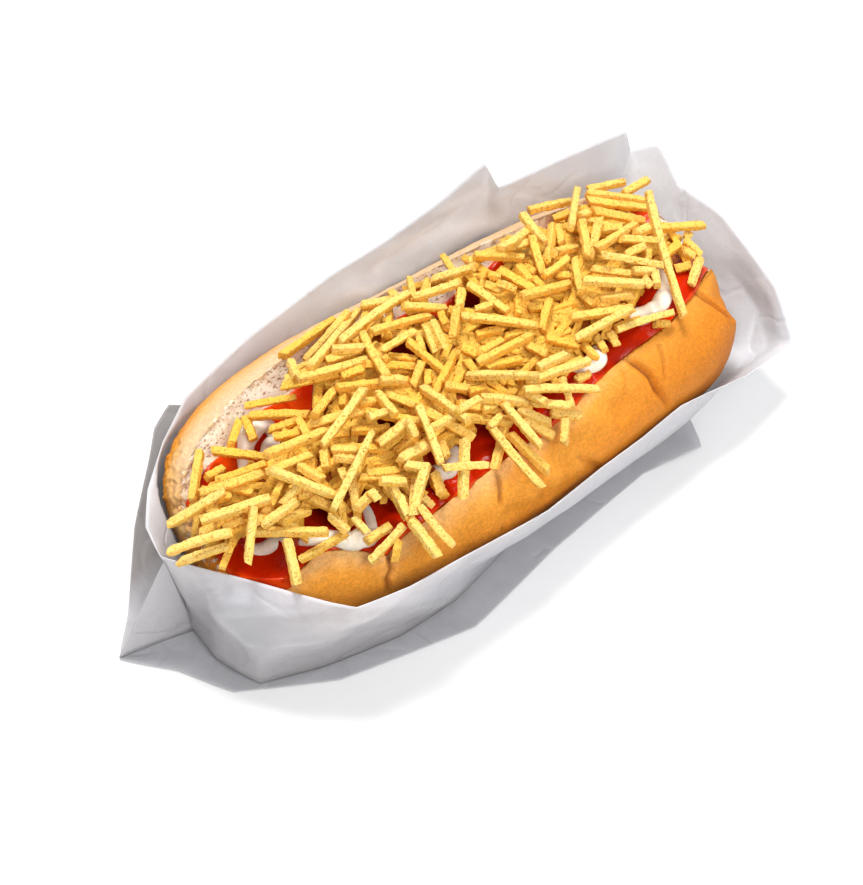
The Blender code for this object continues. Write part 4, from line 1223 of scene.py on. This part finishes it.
TOP_FRIES = (  # ends of the fries that show, in pixels, lowest first
    # left end
    (195, 538, 198, 510), (201, 533, 220, 525), (216, 522, 232, 517), (209, 510, 219, 509),
    (206, 478, 224, 468), (236, 489, 252, 493), (270, 506, 281, 482), (284, 503, 301, 484),
    (281, 520, 309, 511), (255, 524, 263, 515), (223, 528, 243, 520), (200, 452, 192, 501),
    (201, 521, 270, 498), (216, 481, 266, 463), (202, 493, 264, 473), (217, 499, 230, 496),
    (170, 524, 225, 491), (263, 525, 297, 501), (298, 495, 317, 491), (311, 498, 332, 509),
    (180, 562, 229, 546), (169, 552, 231, 532), (243, 521, 222, 568), (254, 508, 248, 561),
    (256, 532, 328, 532), (287, 540, 297, 585), (300, 560, 347, 533),
    # far side of the left end
    (239, 421, 231, 445), (245, 416, 254, 440), (270, 430, 296, 421), (212, 451, 266, 458),
    (274, 437, 301, 432), (299, 420, 308, 437), (245, 406, 296, 397), (318, 390, 317, 409),
    (251, 416, 309, 415), (336, 388, 314, 416), (290, 361, 297, 378), (282, 386, 338, 373),
    (298, 379, 372, 358), (341, 377, 363, 369), (326, 361, 359, 351), (332, 350, 363, 348),
    (310, 368, 359, 310), (282, 356, 336, 319), (305, 361, 349, 311),
    # left of the middle
    (344, 392, 343, 408), (358, 404, 379, 400), (311, 425, 361, 412), (332, 450, 357, 451),
    (324, 451, 326, 468), (334, 435, 349, 433), (337, 458, 356, 460), (341, 468, 347, 483),
    (342, 504, 344, 523), (331, 516, 347, 531), (352, 484, 356, 509), (369, 488, 377, 499),
    (354, 518, 367, 533), (299, 466, 323, 480), (266, 473, 309, 455), (266, 455, 326, 431),
    (351, 431, 389, 428), (367, 417, 389, 412), (368, 418, 386, 412), (366, 473, 397, 470),
    (357, 509, 372, 494), (378, 444, 405, 422), (359, 478, 405, 480), (337, 388, 409, 381),
    (322, 446, 363, 390), (269, 470, 336, 496), (333, 510, 372, 432),
    # far side, left of the middle
    (388, 357, 417, 360), (364, 364, 415, 366), (375, 345, 387, 360), (362, 306, 395, 299),
    (383, 350, 414, 332), (363, 334, 388, 377), (418, 335, 423, 351), (425, 325, 435, 351),
    (431, 321, 444, 348), (372, 332, 429, 316), (403, 306, 444, 308), (340, 342, 409, 293),
    (441, 313, 448, 328), (433, 280, 475, 267), (413, 298, 460, 283), (407, 341, 442, 370),
    # middle
    (378, 394, 395, 415), (428, 371, 428, 385), (397, 453, 415, 436), (400, 458, 419, 446),
    (385, 486, 399, 503), (392, 486, 407, 517), (402, 479, 412, 493), (405, 466, 426, 467),
    (415, 480, 410, 518), (400, 461, 426, 446), (405, 467, 425, 467), (380, 481, 406, 482),
    (450, 387, 451, 404), (388, 395, 418, 406), (380, 381, 406, 381), (380, 444, 408, 421),
    (408, 421, 415, 436), (387, 394, 416, 406), (422, 361, 413, 386), (452, 361, 436, 392),
    (441, 441, 448, 457), (426, 466, 415, 496), (433, 479, 445, 497), (426, 411, 473, 438),
    (431, 429, 458, 412), (422, 388, 468, 421), (418, 406, 441, 464), (468, 393, 486, 388),
    (445, 386, 468, 389), (458, 411, 478, 399), (483, 409, 494, 406), (489, 428, 501, 416),
    (463, 348, 479, 356), (466, 360, 478, 374), (486, 368, 519, 360), (476, 336, 499, 330),
    (504, 338, 533, 331), (480, 353, 503, 340), (526, 345, 547, 355), (478, 363, 531, 336),
    (546, 338, 577, 346), (538, 368, 567, 355), (528, 383, 589, 361), (466, 376, 539, 376),
    (461, 290, 458, 313), (458, 305, 453, 338),
    # near side
    (562, 378, 572, 408), (576, 380, 589, 374), (551, 413, 581, 416), (566, 419, 564, 444),
    (481, 398, 530, 402), (530, 402, 569, 406), (524, 390, 546, 403), (524, 390, 599, 389),
    (506, 419, 494, 469), (518, 409, 551, 424), (523, 419, 554, 437), (503, 403, 541, 447),
    (509, 433, 549, 472), (493, 429, 542, 487), (465, 439, 463, 498), (443, 468, 489, 465),
    (399, 539, 395, 562), (366, 542, 389, 527), (370, 562, 404, 525),
    (406, 465, 421, 467), (400, 497, 409, 518), (422, 497, 431, 505), (370, 491, 378, 500),
    (435, 474, 441, 494), (427, 464, 414, 515), (420, 506, 454, 546), (410, 519, 438, 557),
    # far side, right of the middle
    (490, 276, 500, 278), (485, 284, 498, 289), (499, 283, 515, 290), (518, 297, 518, 316),
    (476, 310, 492, 305), (528, 308, 542, 307), (532, 278, 542, 288), (523, 267, 536, 273),
    (518, 267, 530, 281), (499, 270, 535, 291), (474, 256, 523, 258), (505, 249, 530, 242),
    (500, 249, 530, 229), (468, 284, 508, 312), (461, 317, 535, 326), (522, 296, 570, 284),
    (550, 299, 542, 331), (554, 219, 570, 212), (529, 211, 570, 202), (559, 226, 562, 244),
    (552, 225, 547, 259), (522, 214, 545, 242), (532, 236, 543, 274), (554, 253, 577, 247),
    (557, 275, 570, 276), (544, 276, 568, 258), (573, 318, 629, 307), (584, 345, 596, 358),
    (597, 338, 605, 350), (609, 331, 617, 346), (576, 280, 591, 308), (615, 328, 640, 320),
    # right end
    (588, 190, 625, 182), (623, 194, 649, 179), (580, 216, 593, 212), (599, 230, 622, 227),
    (593, 211, 643, 221), (586, 194, 645, 201), (588, 201, 647, 208), (599, 219, 590, 257),
    (640, 230, 704, 225), (636, 234, 657, 225), (596, 249, 636, 224), (622, 239, 661, 241),
    (581, 221, 587, 257), (577, 190, 571, 228), (625, 255, 645, 246), (648, 248, 647, 260),
    (602, 255, 662, 265), (592, 269, 632, 274), (633, 271, 655, 271), (643, 278, 651, 286),
    (655, 273, 657, 286), (581, 294, 594, 305), (583, 286, 595, 297), (575, 261, 581, 292),
    (583, 281, 643, 284), (600, 299, 633, 295), (573, 317, 633, 308), (576, 339, 633, 308),
    (654, 324, 670, 324), (617, 330, 674, 312), (685, 234, 691, 237), (684, 240, 701, 256),
    (683, 251, 694, 257), (676, 269, 691, 265), (700, 258, 691, 285), (648, 192, 684, 316),
)


def top_fries(heights, draw):
    """The fries that lie on top, each where its ends are seen."""
    placed = []
    for ends in TOP_FRIES:
        thickness = FRY_THICKNESS * draw.uniform(*TOP_THICKNESS)
        pixels = (ends[:2], ends[2:])
        levels = np.array([heights.seen(pixel) for pixel in pixels]) + thickness / 2
        for turn in range(TOP_ROUNDS):
            a, b = (np.array(on_level(pixel, level)) for pixel, level in zip(pixels, levels))
            rest = np.array(heights.rest(a[:2], b[:2], thickness))
            lowest = np.where(np.array([a[1], b[1]]) > 0, FAR_LOWEST, BELLY)
            levels = mix(levels, np.clip(rest, lowest, HEAP_CEILING), TOP_STEP)
        a, b = (np.array(on_level(pixel, level)) for pixel, level in zip(pixels, levels))
        heights.fill(a[:2], b[:2], *levels, thickness)
        placed.append((a, b, thickness))
    return placed


def fry_rings(a, b, thickness, draw):
    """Rings of points round one slightly bent, uneven fry, with a blunt cap at each end, and the share of
    painted shade for each point of a ring.
    """
    ahead = (b - a) / np.linalg.norm(b - a)
    across = np.cross(ahead, (0, 0, 1))
    across /= np.linalg.norm(across)
    above = np.cross(across, ahead)
    length = np.linalg.norm(b - a)
    share = np.linspace(0, 1, FRY_RINGS)
    bend = draw.normal(0, FRY_BEND, 2) * length
    bow = 4 * share * (1 - share)
    middle = a + (b - a) * share[:, None]
    middle = middle + bow[:, None] * (across * bend[0] + above * abs(bend[1]) * 0.5)
    roll = draw.normal(0, FRY_ROLL)
    wide, high = thickness / 2 * draw.uniform(*FRY_WIDTHS, 2)
    u = wide * np.array((1, 1, FRY_CHAMFER, -FRY_CHAMFER, -1, -1, -FRY_CHAMFER, FRY_CHAMFER))
    v = high * np.array((-FRY_CHAMFER, FRY_CHAMFER, 1, 1, FRY_CHAMFER, -FRY_CHAMFER, -1, -1))
    u, v = u * np.cos(roll) - v * np.sin(roll), u * np.sin(roll) + v * np.cos(roll)
    taper = mix(1.0, draw.uniform(*FRY_TAPERS), share) * (1 + draw.normal(0, FRY_UNEVEN, FRY_RINGS))
    taper[[0, -1]] *= draw.uniform(*FRY_BLUNT, 2)
    section = u[None, :, None] * across + v[None, :, None] * above
    loops = middle[:, None] + taper[:, None, None] * section
    loops = loops + draw.normal(0, FRY_ROUGH, loops.shape)
    slant = draw.normal(0, FRY_SLANT, (2, 2))
    for ring, sign, (s, t) in ((0, -1, slant[0]), (-1, 1, slant[1])):
        loops[ring] += ahead * (s * u + t * v)[:, None]
    caps = np.array([a - ahead * FRY_CAP, b + ahead * FRY_CAP])
    return loops.reshape(-1, 3), caps, 0.5 - 0.5 * v / np.abs(v).max()


def join_fries(name, placed, draw):
    """One mesh of all the fries."""
    points, faces, tone_and_depth_shade, tip, side = [], [], [], [], []
    size = FRY_RINGS * FRY_SIDES + 2
    inner = ring_faces(FRY_RINGS, FRY_SIDES)
    for number, (a, b, thickness) in enumerate(placed):
        loops, caps, low = fry_rings(a, b, thickness, draw)
        first = number * size
        last = first + (FRY_RINGS - 1) * FRY_SIDES
        points += [loops, caps]
        faces += [tuple(first + k for k in face) for face in inner]
        for j in range(FRY_SIDES):
            k = (j + 1) % FRY_SIDES
            faces.append((first + size - 2, first + k, first + j))
            faces.append((first + size - 1, last + j, last + k))
        share = np.repeat(np.linspace(0, 1, FRY_RINGS), FRY_SIDES)
        away = np.minimum(share, 1 - share) * np.linalg.norm(b - a)
        close = np.exp(-away / TIP_REACH) * draw.uniform(*TIP_SHARES)
        middle = (a + b) / 2
        depth = float(heap(middle[0], middle[1])) + TINT_RISE - middle[2]
        tone_and_depth_shade.append(np.full(size, np.clip(draw.uniform(*TINTS) + PAINTED_DEPTH_SHADE * depth, 0, 1)))
        # painted shade on each fry's lower faces
        side.append(np.append(np.tile(low, FRY_RINGS), (0.5, 0.5)))
        tip.append(np.append(close, (close.max(), close.max())))
    made = make_mesh(name, np.concatenate(points), faces)
    ends = np.zeros(len(made.data.edges) * 2, np.int32)
    made.data.edges.foreach_get("vertices", ends)
    rings = (ends.reshape(-1, 2) % size) // FRY_SIDES
    sharp = (rings[:, 0] != rings[:, 1]) | np.isin(rings[:, 0], (0, FRY_RINGS - 1))
    made.data.edges.foreach_set("use_edge_sharp", sharp)
    add_values(made, "tone_and_depth_shade", np.concatenate(tone_and_depth_shade))
    add_values(made, "tip", np.concatenate(tip))
    add_values(made, "side", np.concatenate(side))
    return made


def patch_depth(x, y, spread=0.0):
    """1 where the core would hide an open patch of ketchup, falling to 0 around it."""
    depth = np.zeros(np.shape(x))
    for level in (heap(x, y) - CORE_SINK, ketchup(x, y)):
        pixels = pixel_of(np.stack([x, y, level], axis=-1))
        for px, py, radius in OPEN_PATCHES:
            away = np.hypot(pixels[..., 0] - px, pixels[..., 1] - py)
            depth = np.maximum(depth, clamp((radius + spread + 2 * PATCH_MARGIN - away) / PATCH_MARGIN))
    return depth


def core_level(x, y):
    """Height of the heap's inside."""
    return heap(x, y) - CORE_SINK - OPEN_SINK * patch_depth(x, y)


def make_core():
    """The inside of the heap, below the fries that show, dark with painted shade."""
    x = np.linspace(HEAP_START + CORE_ENDS, HEAP_END - CORE_ENDS, CORE_STATIONS)[:, None]
    share = np.linspace(0, 1, CORE_COLUMNS)[None, :]
    y = mix(curve(HEAP_NEAR, x) + CORE_INSET, curve(HEAP_FAR, x) - CORE_INSET, share)
    x = np.broadcast_to(x, y.shape)
    base = ketchup(x, y) + CORE_BASE
    top = np.maximum(core_level(x, y), base - CORE_LOWEST)
    flat = np.stack([x, y, top], axis=-1).reshape(-1, 3)
    top = np.maximum(top + relief(flat, *CORE_LUMPS).reshape(x.shape), base - CORE_LOWEST)
    core = slab("fries_core", x, y, top, base - CORE_BOTTOM)
    # painted shade: the core takes the deepest tint and the lower faces' shade of the fries
    for name, value in (("tone_and_depth_shade", 1.0), ("tip", CORE_TIP), ("side", 1.0)):
        add_values(core, name, np.full(len(core.data.vertices), value))
    start, width = CORE_RIM
    rim_shade_share = np.tile(clamp((share - start) / width), (CORE_STATIONS, 1))
    for name, values in (("open", rim_shade_share), ("sauce", patch_depth(x, y, SAUCE_SPREAD))):
        add_values(core, name, np.concatenate([values, values[:, ::-1]], axis=1).reshape(-1))
    return core


# ---------------------------------------------------------------- paper

def clear_of_bun(points):
    """Move places on the paper outwards, level, until they clear the bread."""
    x, y, z = points.T
    reach = np.where(x > 0, BUN_RIGHT, BUN_LEFT)
    width = np.where(y > 0, BUN_FAR, BUN_NEAR - NEAR_TAPER * np.maximum(x, 0))
    power = np.where(x > 0, RIGHT_POWER, LEFT_POWER)
    top = np.where(y > 0, FAR_TOP, NEAR_TOP)
    level = np.where(z < BELLY, (BELLY - z) / (BELLY - BUN_FLOOR + FLAT_FOOT), (z - BELLY) / (top - BELLY))
    length_share = round_off(level, END_POWER)
    width_share = np.where(z < BELLY, round_off(level, BASE_POWER), round_off(level, CROWN_POWER))
    reach = reach * length_share + PAPER_CLEARANCE
    width = width * width_share + PAPER_CLEARANCE
    inside = (np.abs(x) / reach) ** power + (np.abs(y) / width) ** power
    grow = np.maximum(1, np.maximum(inside, 1e-9) ** (-1 / power))
    return np.stack([x * grow, y * grow, z], axis=-1)


def paper_columns(folds):
    """Rim and foot places between the folds, part straight and part rounded."""
    columns = []
    for marks in zip(*folds):
        marks = np.array(marks, float)
        made = []
        for i in range(len(marks)):
            around = [marks[(i + k) % len(marks)] for k in (-1, 0, 1, 2)]
            for step in range(FOLD_STEPS):
                t = step / FOLD_STEPS
                straight = mix(around[1], around[2], t)
                made.append(mix(straight, spline(around, t), FOLD_ROUNDING))
        columns.append(np.array(made))
    return columns


def crumple(points, size, seed):
    """Flat facets that meet in straight creases."""
    draw = np.random.default_rng(seed)
    height = np.zeros(len(points))
    for number in range(CRUMPLE_WAVES):
        ahead = draw.normal(0, 1, 3)
        ahead /= np.linalg.norm(ahead)
        wave = draw.uniform(*CRUMPLE_LENGTHS)
        phase = points @ ahead / wave + draw.uniform(0, 1)
        height += (np.abs((phase % 1) * 2 - 1) * 2 - 1) * wave / 30
    return height * size / 3


def paper_layer(folds, level, beside_bun, seed):
    """Points, faces and painted shades of one layer, from its middle out to its rim."""
    rims, feet = paper_columns(folds)
    count = len(rims)
    loops = []
    for share in np.arange(1, FLOOR_ROWS + 1) / FLOOR_ROWS:
        loops.append(np.column_stack([feet * share, np.full(count, level)]))
    leans = [share * ramp(rims[:, 0], *on_x) * ramp(rims[:, 1], *on_y)
             for on_x, on_y, share in (LEFT_LEAN, NEAR_LEAN)]
    flare = np.maximum(*leans) * beside_bun
    for share in np.arange(1, WALL_ROWS + 1) / WALL_ROWS:
        out = share ** (1 + FLARE * flare)
        places = mix(feet, rims[:, :2], out[:, None])
        loops.append(np.column_stack([places, mix(level, rims[:, 2], share)]))
    points = np.concatenate(loops)
    if beside_bun:
        points = clear_of_bun(points)
    faces = ring_faces(len(loops), count)
    tree = BVHTree.FromPolygons(points.tolist(), faces)
    normals = normals_of(points, faces)
    lift = clamp((points[:, 2] - level) / LIFT_REACH)
    height = crumple(points, CRUMPLE, seed) * lift + relief(points, *PAPER_LUMPS, seed) * lift
    below_rim = len(loops) - 1 - np.arange(len(points)) // count
    rim_fade = clamp(below_rim / STIFF_ROWS)
    height = height * mix(STIFF_SHARE, 1.0, rim_fade)
    # painted highlights along the sharp folds, and painted bands of light and shade
    line = np.zeros(len(points))
    if beside_bun:
        sharpness, width, light = CREASE_HIGHLIGHT
        for rise, reach, pixels in PAPER_CREASES:
            away = distance_to(points, seen_on(tree, pixels))[0]
            height += rise * np.maximum(1 - away / reach, 0) * lift * rim_fade
            line = np.maximum(line, clamp(sharpness - away / width))
        line = light * line
        for change, reach, pixels in PAPER_PAINTED_BANDS:
            away = distance_to(points, seen_on(tree, pixels))[0]
            line += change * np.exp(-(away / reach) ** 2)
    outward = np.sign((normals[:, :2] * points[:, :2]).sum(axis=1).mean())
    points = points + outward * normals * height[:, None]
    points[:, 2] = np.maximum(points[:, 2], LOWEST_PAPER)
    middle = len(points)
    points = np.concatenate([points, [(0, 0, level)]])
    faces = faces + [(middle, (j + 1) % count, j) for j in range(count)]
    if beside_bun:
        shade = painted_wall_light(points) + np.append(line, 0)
    else:
        # painted shade of the lower layer
        shade = mix(*LOWER_SHADES, ramp(points[:, 2], *LOWER_FADE))
    return points, faces, shade


def painted_wall_light(points):
    """Painted light and shade of the paper beside the bun: lighter higher up, above the cuff and at the
    right.
    """
    x, y, z = points.T
    pixels = pixel_of(points)
    above = np.interp(pixels[:, 0], *np.array(CUFF_LINE, float).T) - pixels[:, 1]
    least, more, height, power = WALL_SHADES
    shade = least + more * clamp(z / height) ** power
    change, edge, begins = CUFF_SHADE
    shade = shade + change * clamp(above / edge) * ramp(y, *begins)
    for (change, begins), place in ((PEAK_SHADE, z), (RIGHT_PAPER_LIGHT, x)):
        shade = shade + change * ramp(place, *begins)
    return shade + FAR_PAPER_SHADE[0] * (y > FAR_PAPER_SHADE[1])


def make_paper():
    parts = [paper_layer(UPPER_FOLDS, UPPER_LEVEL, True, 3),
             paper_layer(LOWER_FOLDS, LOWER_LEVEL, False, 8)]
    a, b, c = (np.array(corner, float) for corner in FIN)
    rows = []
    for share in np.arange(FIN_STEPS + 1) / FIN_STEPS:
        p, q = mix(a, b, share), mix(a, c, share)
        rows.append([mix(p, q, across / FIN_STEPS) for across in range(FIN_STEPS + 1)])
    fin = np.array(rows).reshape(-1, 3)
    fin_faces = ring_faces(FIN_STEPS + 1, FIN_STEPS + 1, closed=False)
    parts.append((fin, fin_faces, np.full(len(fin), FIN_SHADE)))
    points, faces, painted_shades, first = [], [], [], 0
    for part_points, part_faces, shade in parts:
        points.append(part_points)
        painted_shades.append(shade)
        faces += [tuple(first + k for k in face) for face in part_faces]
        first += len(part_points)
    sheet = make_mesh("paper_bag", np.concatenate(points), faces)
    add_values(sheet, "shade", np.concatenate(painted_shades))
    weld = sheet.modifiers.new("weld", "WELD")
    weld.merge_threshold = WELD_REACH * MM
    thicken = sheet.modifiers.new("thickness", "SOLIDIFY")
    thicken.thickness = SHEET * MM
    thicken.offset = 0
    return sheet


# ---------------------------------------------------------------- set

FLOOR_REACH = 3000.0
LIGHTS = (  # name, place and size in metres, power in watts and colour
    ("key", (0.16, 0.48, 1.30), 0.45, 19, (1.0, 0.985, 0.965)),
    ("fill", (0.0, -0.85, 1.20), 0.7, 13.0, (0.98, 0.99, 1.0)),
)
SKY_COLOR = (1.0, 0.99, 0.98, 1)
SKY_ABOVE = 0.55  # strength of the sky's light overhead
SKY_AT_HORIZON = 0.25


def make_floor():
    corners = [(i * FLOOR_REACH, j * FLOOR_REACH, 0) for i, j in ((-1, -1), (1, -1), (1, 1), (-1, 1))]
    floor = make_mesh("floor", corners, [(0, 1, 2, 3)], smooth=False)
    floor.data.materials.append(floor_material())


def make_light(name, place, size, power, color):
    data = bpy.data.lights.new(name, "AREA")
    data.shape = "DISK"
    data.size = size
    data.energy = power
    data.color = color
    lamp = bpy.data.objects.new(name, data)
    lamp.location = place
    lamp.rotation_mode = "QUATERNION"
    lamp.rotation_quaternion = (-Vector(place)).to_track_quat("-Z", "Y")
    bpy.context.scene.collection.objects.link(lamp)


def make_set():
    make_floor()
    for light in LIGHTS:
        make_light(*light)
    world = bpy.data.worlds.new("studio")
    world.use_nodes = True
    tree = world.node_tree
    sky = tree.nodes["Background"]
    sky.inputs["Color"].default_value = SKY_COLOR
    place = tree.nodes.new("ShaderNodeTexCoord")
    split = tree.nodes.new("ShaderNodeSeparateXYZ")
    rise = tree.nodes.new("ShaderNodeMapRange")
    rise.inputs["To Min"].default_value = SKY_AT_HORIZON
    rise.inputs["To Max"].default_value = SKY_ABOVE
    tree.links.new(place.outputs["Generated"], split.inputs[0])
    tree.links.new(split.outputs["Z"], rise.inputs["Value"])
    tree.links.new(rise.outputs["Result"], sky.inputs["Strength"])
    bpy.context.scene.world = world
    bpy.context.scene.view_settings.view_transform = "Standard"
    bpy.context.scene.view_settings.look = "None"


def dress(piece, material, node):
    piece.data.materials.append(material)
    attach(piece, "root")
    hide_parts(node)


def main():
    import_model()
    make_camera()
    make_set()
    dress(make_bun(), bread_material(), "bun")
    dress(make_ketchup(), ketchup_material(), "ketchup")
    dress(make_mayonnaise(), mayonnaise_material(), "mayonnaise")
    draw = np.random.default_rng(SEED)
    heights = HeightMap(mayo_path())
    core = make_core()
    placed = sunk_fries(heights, draw) + under_fries(heights, draw) + top_fries(heights, draw)
    dress(join_fries("fries_heap", placed, draw), fries_material("fries", False), "fries")
    dress(core, fries_material("fries_inside", True), "fries")
    dress(make_paper(), paper_material(), "paper")


main()
